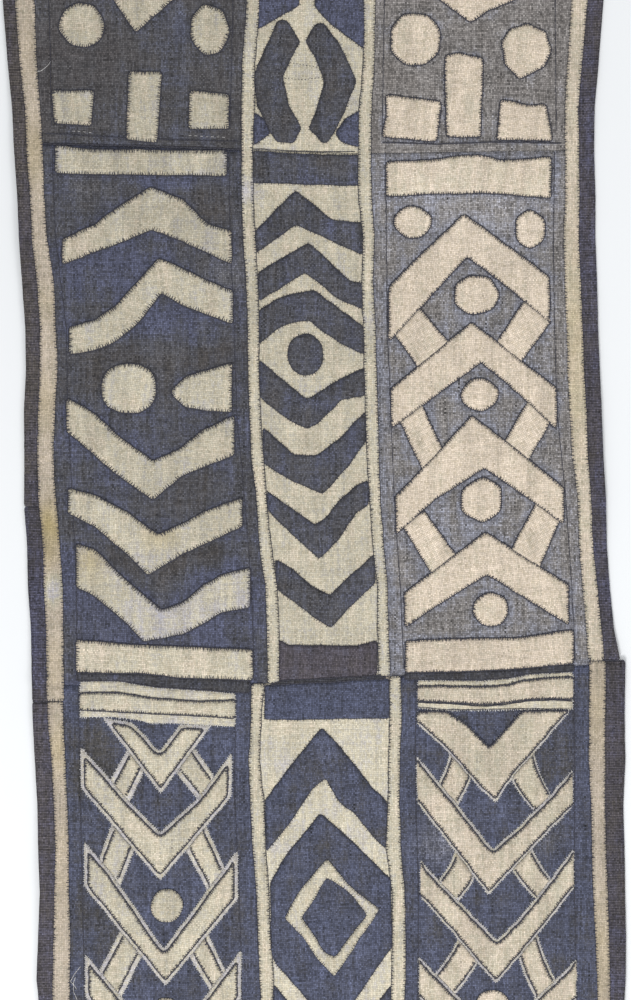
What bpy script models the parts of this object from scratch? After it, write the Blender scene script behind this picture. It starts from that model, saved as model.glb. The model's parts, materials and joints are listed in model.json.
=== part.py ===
"""A raffia cloth of sewn panels, with bars, chevrons and lozenges laid on it and stitched down.

The cloth lies on its back with the worked face up. X runs across it, Y along it and Z up, and the
origin is under the middle of its bounding box. The tables are in millimetres, as a maker would chalk
them on the cloth: x from its middle thread, y from a line across the upper length.
"""

import math

import bmesh
import bpy

MM = 0.001

# Driving dimensions, in millimetres
GROUND_THICK = 1.2
PATCH_THICK = 1.0
HEM_THICK = 2.0
HEM_WIDTH = 9.0
HEM_STEP = 2.0
LAYER_GAP = 0.3
JOINT_GAP = 0.5
STRIP_CLEARANCE = 0.6
PATCH_STEP = 32.0
PANEL_STEP = 40.0
BLOB_SIDES = 16
SEAM_RIDGE_HIGH = 2.0
SEAM_RIDGE_REACH = 100.0

STRIPS = ("outer left strip", "inner left strip", "inner right strip", "outer right strip")

# Height of the underside of each layer over the surface that the cloth lies on
LAYERS = {
    "ground": 0.0,
    "patch": GROUND_THICK + LAYER_GAP,
    "second patch": GROUND_THICK + PATCH_THICK + 2 * LAYER_GAP,
}

# The long edges, from the lower end of each length to its upper end. Each row is one section across:
# y, the cloth's left edge, the two edges of each of the four pale strips, and the cloth's right edge.
EDGE_COLUMNS = (
    "left edge",
    "outer left strip from", "outer left strip to",
    "inner left strip from", "inner left strip to",
    "inner right strip from", "inner right strip to",
    "outer right strip from", "outer right strip to",
    "right edge",
)
LOWER_LENGTH = (
    (-720, -317.0, -300.0, -281.0, -57.0, -44.0, 92.0, 106.0, 330.0, 344.0, 360.0),
    (-640, -316.0, -299.0, -280.0, -58.0, -45.0, 91.0, 105.0, 329.0, 343.0, 359.0),
    (-575, -314.5, -298.5, -279.0, -59.0, -46.0, 91.0, 105.5, 328.0, 341.5, 358.0),
    (-550, -317.0, -298.5, -279.0, -60.5, -45.0, 91.0, 106.5, 327.0, 341.5, 359.5),
    (-500, -315.0, -297.0, -278.0, -62.0, -49.0, 92.0, 106.5, 325.0, 340.5, 360.0),
    (-450, -313.0, -296.0, -280.0, -64.0, -50.5, 92.0, 105.5, 322.5, 339.0, 359.0),
    (-400, -315.0, -295.0, -280.0, -68.5, -54.0, 85.0, 101.5, 321.5, 337.0, 358.5),
    (-350, -316.0, -297.0, -282.0, -71.0, -56.0, 87.0, 99.5, 320.5, 336.0, 357.0),
    (-300, -319.0, -299.5, -284.0, -73.0, -61.0, 88.0, 100.0, 318.0, 336.0, 359.5),
    (-250, -321.5, -304.0, -286.5, -70.0, -59.5, 89.0, 102.0, 318.0, 336.0, 358.5),
    (-200, -322.5, -305.0, -286.0, -69.5, -54.5, 89.0, 100.5, 318.0, 336.5, 359.0),
    (-170, -323.0, -306.0, -286.5, -69.0, -54.0, 89.0, 100.5, 318.0, 336.5, 360.0),
)
UPPER_LENGTH = (
    (-240, -321.5, -305.0, -285.5, -50.5, -39.0, 77.0, 89.5, 318.0, 336.5, 358.0),
    (-200, -322.5, -305.0, -286.0, -51.0, -39.0, 76.5, 89.0, 317.5, 336.0, 357.0),
    (-150, -323.5, -306.0, -286.5, -52.0, -38.5, 75.0, 87.0, 315.0, 332.0, 346.5),
    (-100, -327.0, -308.5, -287.0, -54.0, -41.0, 75.0, 86.0, 310.5, 327.0, 341.5),
    (-50, -328.0, -309.5, -290.5, -61.0, -48.0, 69.5, 81.5, 306.5, 322.0, 338.0),
    (0, -332.0, -314.5, -295.0, -64.0, -53.0, 66.0, 77.5, 305.0, 320.0, 337.0),
    (50, -331.0, -316.0, -298.0, -70.0, -57.0, 63.0, 76.0, 298.5, 316.0, 334.0),
    (100, -331.5, -315.0, -296.0, -72.0, -60.0, 61.0, 75.0, 295.5, 314.5, 332.0),
    (150, -329.0, -313.0, -293.0, -74.0, -62.0, 60.0, 73.0, 293.0, 311.5, 330.0),
    (200, -330.0, -313.0, -295.0, -74.0, -62.0, 59.0, 72.0, 292.0, 310.0, 328.0),
    (250, -333.5, -316.0, -297.0, -76.0, -63.0, 57.0, 69.0, 290.5, 308.0, 327.0),
    (300, -337.0, -322.0, -305.0, -79.5, -66.0, 58.5, 71.0, 288.5, 306.0, 325.0),
    (350, -339.0, -324.0, -308.0, -81.0, -68.5, 53.0, 67.5, 290.5, 306.5, 325.0),
    (400, -342.5, -328.0, -310.0, -81.0, -69.5, 53.0, 66.5, 290.5, 306.0, 323.5),
    (450, -345.0, -330.0, -313.0, -81.5, -67.0, 53.5, 68.0, 290.0, 305.0, 324.0),
    (500, -350.0, -336.0, -317.0, -80.5, -67.0, 59.0, 71.0, 293.0, 309.0, 328.5),
    (575, -356.0, -342.0, -320.0, -75.0, -60.0, 59.0, 72.0, 298.0, 316.0, 334.5),
    (650, -361.0, -347.0, -325.0, -75.0, -60.0, 60.0, 72.0, 302.0, 319.0, 338.0),
)

# Lines across the cloth, as (x, y) points from left to right: its two ends and its cross seams
LINES = {
    "bottom end": ((-317, -709), (0, -714), (360, -710)),
    "length seam": ((-322, -213), (-60, -211), (360, -187)),
    "left border joint": ((-330, -232), (-280, -231)),
    "right border joint": ((300, -185), (362, -184)),
    "panel seam": ((-310, 409), (-75, 402), (60, 398), (300, 402)),
    "upper border joint": ((-360, -8), (-300, -7)),
    "top end": ((-361, 641), (-200, 646), (60, 644), (338, 647)),
}

# Low swells in which the cloth lies off the surface: x, y, height and reach
SWELLS = (
    (-330, 340, 3.0, 210),
    (-60, 640, 2.5, 200),
    (200, 430, 2.0, 200),
    (-210, 110, 2.5, 200),
    (345, 60, 3.0, 200),
    (-320, -460, 3.0, 210),
    (40, -410, 1.5, 180),
    (330, -600, 2.5, 210),
)

# Bands that run across a panel. Each row is a name, a finish, how far the lower tip stands to the right
# of the upper one, and the stations from left to right: x, y of the upper edge, y of the lower edge.
LEFT_BANDS = (
    ("bar_left_upper", "natural", 0, ((-295, 407, 376), (-250, 402, 374), (-200, 402, 374), (-99, 401, 373))),
    ("peak_left_1", "natural", 1, ((-287, 299, 271), (-250, 316, 285), (-225, 335, 294), (-186, 359, 311),
                                   (-149, 345, 297), (-120, 316, 284), (-93, 309, 271))),
    ("peak_left_2", "natural", 3, ((-279, 198, 168), (-250, 206, 172), (-225, 224, 183), (-200, 251, 204),
                                   (-177, 277, 238), (-150, 266, 224), (-125, 253, 215), (-92, 240, 203))),
    ("leaf_left", "natural", 0, ((-161, 127, 121), (-145, 142, 107), (-120, 149, 102), (-93, 157, 101))),
    ("valley_left_1", "natural", 0, ((-282, 117, 79), (-250, 99, 52), (-225, 75, 30), (-183, 44, 0),
                                     (-150, 60, 28), (-125, 80, 38), (-90, 97, 52))),
    ("valley_left_2", "natural", -12, ((-280, 13, -15), (-250, 5, -30), (-212, -15, -63), (-177, -40, -86),
                                       (-150, -28, -62), (-125, -14, -51), (-81, 2, -30))),
    ("valley_left_3", "natural", -20, ((-271, -51, -100), (-250, -57, -110), (-216, -91, -139),
                                       (-174, -127, -162), (-150, -119, -154), (-125, -98, -141),
                                       (-105, -87, -129), (-72, -78, -123))),
    ("bar_left_lower", "natural", 0, ((-271, -161, -198), (-200, -167, -199), (-150, -169, -204),
                                      (-69, -172, -207))),
)
CENTRE_BANDS = (
    ("bar_centre_upper", "slate", 0, ((-69, 401, 365), (0, 397, 363), (53, 396, 361))),
    ("peak_centre_1", "slate", 0, ((-65, 309, 284), (-34, 341, 306), (-19, 355, 317), (3, 337, 307),
                                   (22, 322, 298), (34, 320, 293), (58, 318, 282))),
    ("peak_centre_2", "slate", -4, ((-62, 262, 229), (-35, 277, 245), (-5, 295, 262), (12, 280, 247),
                                    (30, 263, 231), (43, 251, 226), (59, 249, 220))),
    ("peak_centre_3", "slate", -4, ((-62, 217, 180), (-40, 231, 197), (-26, 236, 204), (1, 241, 207),
                                    (10, 235, 195), (33, 217, 180), (59, 199, 168))),
    ("valley_centre_1", "slate", 0, ((-61, 160, 119), (-30, 134, 94), (-6, 115, 82), (5, 122, 88),
                                     (34, 140, 116), (60, 151, 120))),
    ("valley_centre_2", "slate", 8, ((-57, 83, 42), (-22, 52, 22), (4, 50, 7), (32, 71, 30), (43, 83, 42),
                                     (61, 101, 68))),
    ("valley_centre_3", "slate", 4, ((-52, 10, -11), (-20, -13, -42), (3, -29, -67), (14, -23, -61),
                                     (30, -2, -44), (50, 16, -14), (64, 23, -6))),
    ("valley_centre_4", "slate", 1, ((-43, -68, -103), (-24, -79, -114), (0, -100, -133), (20, -110, -146),
                                     (43, -88, -122), (72, -63, -95))),
    ("bar_centre_middle", "plum", 0, ((-40, -161, -208), (-28, -167, -207), (49, -168, -203), (74, -162, -201))),
    ("bar_centre_lower", "indigo", 0, ((-55, -213, -252), (88, -205, -250))),
    ("peak_centre_low", "indigo", 4, ((-54, -345, -403), (-25, -306, -369), (1, -273, -330), (11, -262, -319),
                                      (30, -282, -346), (49, -306, -360), (70, -333, -386), (85, -346, -400))),
    ("lozenge_centre", "indigo", 0, ((-48, -440, -525), (-30, -408, -546), (9, -361, -592), (25, -374, -610),
                                     (39, -387, -589), (74, -421, -537), (91, -437, -514))),
    ("valley_centre_low", "indigo", 0, ((-44, -558, -698), (25, -645, -701), (90, -558, -699))),
)
RIGHT_BANDS = (
    ("bar_right_upper", "natural", 0, ((85, 388, 349), (139, 390, 352), (166, 395, 352), (190, 396, 353),
                                       (216, 390, 352), (235, 390, 350), (274, 394, 347))),
    ("peak_right_1", "natural", 3, ((88, 245, 183), (125, 282, 222), (158, 313, 259), (174, 328, 280),
                                    (202, 308, 262), (235, 284, 236), (272, 256, 204))),
    ("peak_right_2", "natural", 11, ((91, 128, 83), (137, 166, 117), (183, 204, 159), (235, 163, 124),
                                     (280, 128, 82))),
    ("peak_right_3", "natural", 15, ((96, 4, -39), (140, 50, 1), (183, 97, 37), (240, 53, 8),
                                     (288, 14, -27))),
    ("peak_right_4", "natural", 2, ((106, -107, -146), (152, -72, -115), (199, -37, -85), (247, -68, -114),
                                    (294, -98, -143))),
    ("bar_right_lower", "natural", 0, ((107, -162, -198), (158, -160, -197), (196, -159, -196),
                                       (235, -159, -194), (300, -149, -187))),
)
LOW_BANDS = (
    ("valley_low_left_1", "natural", 0, ((-266, -284, -330), (-210, -347, -396), (-175, -382, -437),
                                         (-130, -341, -384), (-93, -291, -340))),
    ("valley_low_left_2", "natural", 2, ((-262, -392, -443), (-233, -426, -479), (-171, -516, -558),
                                         (-86, -402, -458))),
    ("valley_low_left_3", "natural", 0, ((-261, -521, -570), (-170, -632, -682), (-82, -517, -572))),
    ("valley_low_right_1", "natural", -6, ((120, -295, -346), (172, -358, -414), (208, -402, -453),
                                           (238, -374, -416), (268, -345, -384), (299, -310, -351))),
    ("valley_low_right_2", "natural", -1, ((124, -413, -455), (147, -440, -481), (212, -506, -556),
                                           (239, -479, -522), (269, -442, -486), (300, -402, -446))),
    ("valley_low_right_3", "natural", -2, ((122, -525, -570), (213, -616, -668), (303, -527, -573))),
)

# Bands that run down a panel: name, finish, and the stations from the top: y, x from, x to
UPRIGHTS = (
    ("hook_centre_left", "slate", ((551, -39, -30), (526, -51, -15), (488, -67, -35), (452, -63, -27),
                                   (427, -50, -13), (411, -40, -22))),
    ("hook_centre_right", "slate", ((547, 4, 13), (527, -8, 28), (510, 3, 37), (481, 14, 50), (449, 5, 37),
                                    (427, -4, 27), (411, 11, 17))),
)

# Rounds cut freehand: name, finish, centre x, centre y, width, height, and how far it leans to a square
BLOBS = (
    ("round_left", "natural", -211, 128, 62, 56, 0.25),
    ("round_centre", "slate", -8, 167, 40, 47, 0.10),
)

# The pale diamond ring on the lozenge, clockwise from its top: (x, y) outside and (x, y) inside.
# It is cut freehand, wide at the upper left and narrow at the upper right.
DIAMOND = (
    ((17, -412), (16, -433)),
    ((39, -439), (36, -445)),
    ((51, -450), (48, -456)),
    ((77, -470), (63, -477)),
    ((55, -502), (46, -498)),
    ((25, -547), (26, -525)),
    ((6, -527), (13, -519)),
    ((-10, -502), (-1, -496)),
    ((-32, -480), (-13, -480)),
    ((-16, -450), (2, -458)),
)

# Base colour of each finish as linear red, green and blue, and its roughness
FINISHES = {
    "natural": ((0.445, 0.405, 0.315), 0.85),
    "slate": ((0.105, 0.104, 0.125), 0.88),
    "brown": ((0.080, 0.074, 0.077), 0.88),
    "grey": ((0.215, 0.195, 0.180), 0.88),
    "indigo": ((0.088, 0.098, 0.145), 0.88),
    "plum": ((0.078, 0.062, 0.078), 0.88),
    "border": ((0.070, 0.063, 0.078), 0.88),
}


def clear_scene():
    """Removes every object that is there, so that the cloth is alone."""
    for thing in list(bpy.data.objects):
        bpy.data.objects.remove(thing)


def make_finishes():
    """Makes one material for each finish of FINISHES."""
    made = {}
    for name, (colour, roughness) in FINISHES.items():
        material = bpy.data.materials.new("raffia_" + name)
        material.use_nodes = True
        shader = material.node_tree.nodes["Principled BSDF"]
        shader.inputs["Base Color"].default_value = (*colour, 1.0)
        shader.inputs["Roughness"].default_value = roughness
        shader.inputs["Metallic"].default_value = 0.0
        made[name] = material
    return made


def blend(a, b, share):
    """The number that lies that share of the way from a to b."""
    return a + (b - a) * share


def read_across(line, at):
    """The value at a place of a line of (place, value) points, held level past both its ends."""
    if at <= line[0][0]:
        return line[0][1]
    for (a, low), (b, high) in zip(line, line[1:]):
        if at <= b:
            return blend(low, high, (at - a) / (b - a))
    return line[-1][1]


def edge_line(length, column):
    """One long edge of a length of cloth, as (y, x) points."""
    index = EDGE_COLUMNS.index(column) + 1
    return [(row[0], row[index]) for row in length]


def seam_under(length, strip):
    """The joint that runs under the middle of a strip, as (y, x) points."""
    edges = zip(edge_line(length, strip + " from"), edge_line(length, strip + " to"))
    return [(y, (a + b) / 2) for (y, a), (_, b) in edges]


def shifted(line, by):
    """A long edge moved sideways."""
    return [(y, x + by) for y, x in line]


def lie_of(x, y):
    """How far the cloth lies off the surface at a place, from its swells and the ridge at its long seam."""
    high = 0.0
    for swell_x, swell_y, top, reach in SWELLS:
        away = math.hypot(x - swell_x, y - swell_y)
        if away < reach:
            high += top * math.cos(math.pi * away / (2 * reach)) ** 2
    off_seam = abs(y - read_across(LINES["length seam"], x))
    if off_seam < SEAM_RIDGE_REACH:
        high += SEAM_RIDGE_HIGH * math.cos(math.pi * off_seam / (2 * SEAM_RIDGE_REACH)) ** 2
    return high


def whole_box_middle():
    """The middle of the cloth's bounding box, from its long edges and its ends."""
    lefts = [row[1] for row in UPPER_LENGTH + LOWER_LENGTH]
    rights = [row[-1] for row in UPPER_LENGTH + LOWER_LENGTH]
    tops = [y for _, y in LINES["top end"]]
    bottoms = [y for _, y in LINES["bottom end"]]
    return (min(lefts) + max(rights)) / 2, (min(bottoms) + max(tops)) / 2


MIDDLE_X, MIDDLE_Y = whole_box_middle()


class Maker:
    """Cuts sheets of cloth into one collection."""

    def __init__(self):
        self.finishes = make_finishes()
        self.cloth = bpy.data.collections.new("raffia_cloth")
        bpy.context.scene.collection.children.link(self.cloth)

    def add_sheet(self, name, shape, finish, thick=PATCH_THICK, hemmed=None):
        """Turns an open surface into a piece of cloth that stands on it, thicker where it is hemmed."""
        mesh = bpy.data.meshes.new(name)
        shape.to_mesh(mesh)
        shape.free()
        mesh.materials.append(self.finishes[finish])
        piece = bpy.data.objects.new(name, mesh)
        self.cloth.objects.link(piece)
        cloth = piece.modifiers.new("thickness of the cloth", "SOLIDIFY")
        cloth.thickness = thick * MM
        cloth.offset = 1.0
        if hemmed:
            hem = piece.vertex_groups.new(name="hem")
            hem.add(hemmed, 1.0, "REPLACE")
            cloth.vertex_group = hem.name
            cloth.thickness = HEM_THICK * MM
            cloth.thickness_vertex_group = thick / HEM_THICK
        return piece

    def add_grid(self, name, columns, rows, place, finish, layer="ground", thick=PATCH_THICK, is_hem=None):
        """Lays a grid of columns by rows points, each put in its place by place(column, row)."""
        shape = bmesh.new()
        bmesh.ops.create_grid(shape, x_segments=columns - 1, y_segments=rows - 1, size=0.5)
        hemmed = []
        for point in shape.verts:
            column = round((point.co.x + 0.5) * (columns - 1))
            row = round((point.co.y + 0.5) * (rows - 1))
            x, y = place(column, row)
            point.co = ((x - MIDDLE_X) * MM, (y - MIDDLE_Y) * MM, (LAYERS[layer] + lie_of(x, y)) * MM)
            if is_hem and is_hem(column, row):
                hemmed.append(point.index)
        return self.add_sheet(name, shape, finish, thick, hemmed)


def rows_between(length, low, high, ends=()):
    """The lines across that cut a length into rows, from one line to another, with hem rows at an end.

    Each row is a line across and how far it stands above that line.
    """
    rows = [(LINES[low], JOINT_GAP / 2)]
    if low in ends:
        rows += [(LINES[low], HEM_WIDTH), (LINES[low], HEM_WIDTH + HEM_STEP)]
    lowest = max(y for _, y in LINES[low]) + HEM_WIDTH
    highest = min(y for _, y in LINES[high]) - HEM_WIDTH
    levels = [row[0] for row in length]
    for a, b in zip(levels, levels[1:]):
        near_ridge = abs((a + b) / 2 - read_across(LINES["length seam"], 0)) < SEAM_RIDGE_REACH
        parts = 2 if near_ridge or b - a > 1.5 * PANEL_STEP else 1
        for part in range(parts):
            level = blend(a, b, part / parts)
            if lowest < level < highest:
                rows.append((((0, level),), 0.0))
    if high in ends:
        rows += [(LINES[high], -HEM_WIDTH - HEM_STEP), (LINES[high], -HEM_WIDTH)]
    rows.append((LINES[high], -JOINT_GAP / 2))
    return rows


def add_panel(maker, name, length, left, right, low, high, finish, hem_side=None):
    """A ground panel or a border piece between two long joints and two lines across."""
    ends = ("bottom end", "top end")
    rows = rows_between(length, low, high, ends)
    wide = max(b - a for (_, a), (_, b) in zip(left, right))
    columns = max(2, math.ceil(wide / PANEL_STEP) + 1)
    shares = [i / (columns - 1) for i in range(columns)]
    hem_columns = ()
    if hem_side == "left":
        shares = [0.0, HEM_WIDTH / wide, (HEM_WIDTH + HEM_STEP) / wide, 1.0]
        hem_columns = (0, 1)
    if hem_side == "right":
        shares = [0.0, 1 - (HEM_WIDTH + HEM_STEP) / wide, 1 - HEM_WIDTH / wide, 1.0]
        hem_columns = (2, 3)
    columns = len(shares)

    def place(column, row):
        line, above = rows[row]
        y = read_across(line, blend(left[0][1], right[0][1], shares[column])) + above
        for _ in range(3):
            x = blend(read_across(left, y), read_across(right, y), shares[column])
            y = read_across(line, x) + above
        return x, y

    hem_rows = set()
    if low in ends:
        hem_rows |= {0, 1}
    if high in ends:
        hem_rows |= {len(rows) - 2, len(rows) - 1}

    def is_hem(column, row):
        return column in hem_columns or row in hem_rows

    maker.add_grid(name, columns, len(rows), place, finish, thick=GROUND_THICK, is_hem=is_hem)


def add_grounds(maker):
    """The nine panels and the five pieces of the two borders, which meet under the pale strips."""
    half = JOINT_GAP / 2
    lengths = (
        ("low", LOWER_LENGTH, "bottom end", "length seam"),
        ("middle", UPPER_LENGTH, "length seam", "panel seam"),
        ("top", UPPER_LENGTH, "panel seam", "top end"),
    )
    panel_finish = {
        "left": {"low": "indigo", "middle": "slate", "top": "brown"},
        "centre": {"low": "natural", "middle": "natural", "top": "natural"},
        "right": {"low": "indigo", "middle": "grey", "top": "grey"},
    }
    columns = (
        ("left", "outer left strip", "inner left strip"),
        ("centre", "inner left strip", "inner right strip"),
        ("right", "inner right strip", "outer right strip"),
    )
    for side, from_strip, to_strip in columns:
        for level, length, low, high in lengths:
            left = shifted(seam_under(length, from_strip), half)
            right = shifted(seam_under(length, to_strip), -half)
            add_panel(maker, f"panel_{side}_{level}", length, left, right, low, high, panel_finish[side][level])

    borders = (
        ("border_left_low", "left", LOWER_LENGTH, "bottom end", "left border joint"),
        ("border_left_middle", "left", UPPER_LENGTH, "left border joint", "upper border joint"),
        ("border_left_top", "left", UPPER_LENGTH, "upper border joint", "top end"),
        ("border_right_low", "right", LOWER_LENGTH, "bottom end", "right border joint"),
        ("border_right_top", "right", UPPER_LENGTH, "right border joint", "top end"),
    )
    for name, side, length, low, high in borders:
        edge = edge_line(length, side + " edge")
        joint = seam_under(length, f"outer {side} strip")
        if side == "left":
            add_panel(maker, name, length, edge, shifted(joint, -half), low, high, "border", hem_side="left")
        else:
            add_panel(maker, name, length, shifted(joint, half), edge, low, high, "border", hem_side="right")


def add_strips(maker):
    """The eight pale strips that cover the long joints. They stop at the turned hems of the two ends."""
    over_hem = HEM_WIDTH + HEM_STEP + 2 * LAYER_GAP
    joints = {"outer left strip": "left border joint", "outer right strip": "right border joint"}
    for strip in STRIPS:
        joint = joints.get(strip, "length seam")
        for level, length, low, high in (("low", LOWER_LENGTH, "bottom end", joint),
                                         ("upper", UPPER_LENGTH, joint, "top end")):
            rows = rows_between(length, low, high)
            rows[0] = (LINES[low], over_hem if low == "bottom end" else JOINT_GAP / 2)
            rows[-1] = (LINES[high], -over_hem if high == "top end" else -JOINT_GAP / 2)
            edges = [edge_line(length, strip + " from"), edge_line(length, strip + " to")]

            def place(column, row):
                line, above = rows[row]
                y = read_across(line, edges[column][0][1]) + above
                x = read_across(edges[column], y)
                return x, read_across(line, x) + above

            name = strip.replace(" ", "_") + "_" + level
            maker.add_grid(name, 2, len(rows), place, "natural", layer="patch")


def cut_finer(sections):
    """Adds sections between those given, so that none lies more than PATCH_STEP from the next."""
    finer = []
    for (a, b), (c, d) in zip(sections, sections[1:]):
        longest = max(math.dist(a, c), math.dist(b, d))
        parts = math.ceil(longest / PATCH_STEP)
        for part in range(parts):
            share = part / parts
            near = tuple(blend(p, q, share) for p, q in zip(a, c))
            far = tuple(blend(p, q, share) for p, q in zip(b, d))
            finer.append((near, far))
    finer.append(sections[-1])
    return finer


def beside_strips(x, y, middle):
    """Moves a place out from under the pale strips, to the side on which its patch has its middle."""
    length = UPPER_LENGTH if y > read_across(LINES["length seam"], x) else LOWER_LENGTH
    for strip in STRIPS:
        start = read_across(edge_line(length, strip + " from"), y) - STRIP_CLEARANCE
        end = read_across(edge_line(length, strip + " to"), y) + STRIP_CLEARANCE
        if middle > end:
            x = max(x, end)
        elif middle < start:
            x = min(x, start)
    return x


def add_ribbon(maker, name, finish, sections, layer="patch"):
    """A patch lofted through sections, each a pair of points on its two edges."""
    middle = (sections[0][0][0] + sections[-1][0][0]) / 2
    sections = [tuple((beside_strips(x, y, middle), y) for x, y in section) for section in cut_finer(sections)]
    widest = max(math.dist(a, b) for a, b in sections)
    across = math.ceil(widest / PATCH_STEP) + 1

    def place(column, row):
        a, b = sections[column]
        share = row / (across - 1)
        return blend(a[0], b[0], share), blend(a[1], b[1], share)

    maker.add_grid(name, len(sections), across, place, finish, layer=layer)


def is_tip(stations, index):
    """Whether a station is the peak or the foot of its band, where the upper edge turns."""
    if index in (0, len(stations) - 1):
        return False
    uppers = [upper for _, upper, _ in stations]
    return uppers[index] in (max(uppers), min(uppers))


def add_bands(maker):
    """The bars, the chevrons and the lozenge that run across the panels."""
    for name, finish, lean, stations in LEFT_BANDS + CENTRE_BANDS + RIGHT_BANDS + LOW_BANDS:
        sections = []
        for index, (x, upper, lower) in enumerate(stations):
            foot = x + (lean if is_tip(stations, index) else 0)
            sections.append(((foot, lower), (x, upper)))
        add_ribbon(maker, name, finish, sections)


def add_uprights(maker):
    """The two bent bands that face each other in the upper centre panel."""
    for name, finish, stations in UPRIGHTS:
        sections = [((right, y), (left, y)) for y, left, right in reversed(stations)]
        add_ribbon(maker, name, finish, sections)


def add_blobs(maker):
    """The rounds, cut freehand: between a circle and a square."""
    for name, finish, x, y, wide, high, squareness in BLOBS:
        shape = bmesh.new()
        bmesh.ops.create_circle(shape, cap_ends=True, cap_tris=True, segments=BLOB_SIDES, radius=1.0)
        for point in shape.verts:
            turn = math.atan2(point.co.y, point.co.x)
            bulge = 1.0 + 0.3 * squareness * math.sin(2 * turn) ** 2
            out = bulge * math.hypot(point.co.x, point.co.y)
            px = x + wide / 2 * out * math.cos(turn)
            py = y + high / 2 * out * math.sin(turn)
            point.co = ((px - MIDDLE_X) * MM, (py - MIDDLE_Y) * MM, (LAYERS["patch"] + lie_of(px, py)) * MM)
        maker.add_sheet(name, shape, finish)


def add_diamond(maker):
    """The pale ring on the lozenge, a ribbon whose end closes on its start."""
    sections = cut_finer([(outer, inner) for outer, inner in DIAMOND + DIAMOND[:1]])
    around = len(sections)
    shape = bmesh.new()
    bmesh.ops.create_grid(shape, x_segments=around - 1, y_segments=1, size=0.5)
    for point in shape.verts:
        section = sections[round((point.co.x + 0.5) * (around - 1))]
        x, y = section[round(point.co.y + 0.5)]
        lift = LAYERS["second patch"] + lie_of(x, y)
        point.co = ((x - MIDDLE_X) * MM, (y - MIDDLE_Y) * MM, lift * MM)
    bmesh.ops.remove_doubles(shape, verts=shape.verts, dist=0.01 * MM)
    bmesh.ops.recalc_face_normals(shape, faces=shape.faces)
    if shape.faces[:][0].normal.z < 0:
        bmesh.ops.reverse_faces(shape, faces=shape.faces)
    maker.add_sheet("diamond_ring", shape, "natural")


def main():
    clear_scene()
    maker = Maker()
    add_grounds(maker)
    add_strips(maker)
    add_bands(maker)
    add_uprights(maker)
    add_blobs(maker)
    add_diamond(maker)


main()
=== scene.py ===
# %% [markdown]
# # A raffia cloth of sewn panels
#
# The piece is a long flat cloth of plain-woven raffia. Nine panels and five border pieces are butted
# together, pale strips cover the long joints, and cut patches of the same cloth are laid on top and
# sewn down by hand with dark fibre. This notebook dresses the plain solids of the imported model: each
# solid is stood in for by a finer sheet of the same outline, with its weave, its dye and its sewing.

# %% Load the frame
import json
import math
import random

import bmesh
import bpy
import numpy as np
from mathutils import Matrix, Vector, geometry, noise


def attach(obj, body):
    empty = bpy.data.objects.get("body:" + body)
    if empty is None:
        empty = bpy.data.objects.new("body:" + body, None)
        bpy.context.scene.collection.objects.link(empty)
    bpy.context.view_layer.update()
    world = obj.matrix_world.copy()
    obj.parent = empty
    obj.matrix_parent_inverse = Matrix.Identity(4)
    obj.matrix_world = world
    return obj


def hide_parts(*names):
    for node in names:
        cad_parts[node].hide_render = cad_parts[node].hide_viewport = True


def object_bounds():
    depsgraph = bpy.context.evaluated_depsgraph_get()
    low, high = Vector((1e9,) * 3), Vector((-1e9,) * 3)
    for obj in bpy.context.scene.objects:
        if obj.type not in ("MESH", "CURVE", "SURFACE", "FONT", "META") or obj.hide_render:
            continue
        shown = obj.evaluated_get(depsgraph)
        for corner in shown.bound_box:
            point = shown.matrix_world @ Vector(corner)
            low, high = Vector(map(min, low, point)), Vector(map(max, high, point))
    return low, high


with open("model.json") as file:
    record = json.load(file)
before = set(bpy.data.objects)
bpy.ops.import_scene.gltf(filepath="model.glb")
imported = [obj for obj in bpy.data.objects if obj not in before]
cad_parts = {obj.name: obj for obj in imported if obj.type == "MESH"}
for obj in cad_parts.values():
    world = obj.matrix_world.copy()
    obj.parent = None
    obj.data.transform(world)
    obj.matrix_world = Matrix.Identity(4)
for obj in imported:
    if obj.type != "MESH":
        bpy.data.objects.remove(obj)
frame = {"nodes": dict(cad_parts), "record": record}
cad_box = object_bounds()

NODES = frame["nodes"]
MM = 0.001
print(f"{len(NODES)} solids, box {[tuple(round(v, 3) for v in corner) for corner in cad_box]}")

# %% [markdown]
# ## The chart
#
# A maker chalks the cloth before cutting: distances across are from its middle thread, and distances
# along are from a line across the upper length. The frame has its origin under the middle of the whole
# cloth instead, so one small shift turns a chalk mark into a place in the frame. Working in chalk marks
# keeps every size below in whole millimetres.

# %% Chalk marks to places
CHART_MIDDLE = (-0.5, -33.5)


def to_frame(x, y, z=0.0):
    """A place in the frame, in metres, from chalk marks in millimetres."""
    return Vector(((x - CHART_MIDDLE[0]) * MM, (y - CHART_MIDDLE[1]) * MM, z * MM))


def to_chart(place):
    """The chalk marks of a place in the frame."""
    return place[0] / MM + CHART_MIDDLE[0], place[1] / MM + CHART_MIDDLE[1]


def add_object(name, data):
    """A new object that shows some data, linked to the scene."""
    made = bpy.data.objects.new(name, data)
    bpy.context.scene.collection.objects.link(made)
    return made


def new_material(name):
    """A new material, its tree of nodes and its shader."""
    material = bpy.data.materials.new(name)
    material.use_nodes = True
    return material, material.node_tree, material.node_tree.nodes["Principled BSDF"]


corners = [to_chart(corner) for corner in cad_box]
print(f"the cloth runs from {corners[0][0]:.0f} to {corners[1][0]:.0f} across",
      f"and from {corners[0][1]:.0f} to {corners[1][1]:.0f} along")

# %% [markdown]
# ## Camera, floor and light
#
# The cloth is seen square on, from far above, so that its edges stay parallel. A long lens high over the
# cloth gives that, and the lens, the sensor and the height of the frame settle how high it hangs. The
# light is one broad soft lamp from below the lower edge of the picture and a weaker one from the right,
# because thin cloth shows its patches by small shadows. The surface under it is plain and nearly white.

# %% Camera
PICTURE_HIGH = 1150.0
PICTURE_MIDDLE = (3.45, 0.0)
LENS = 85.0
SENSOR = 36.0


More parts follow.
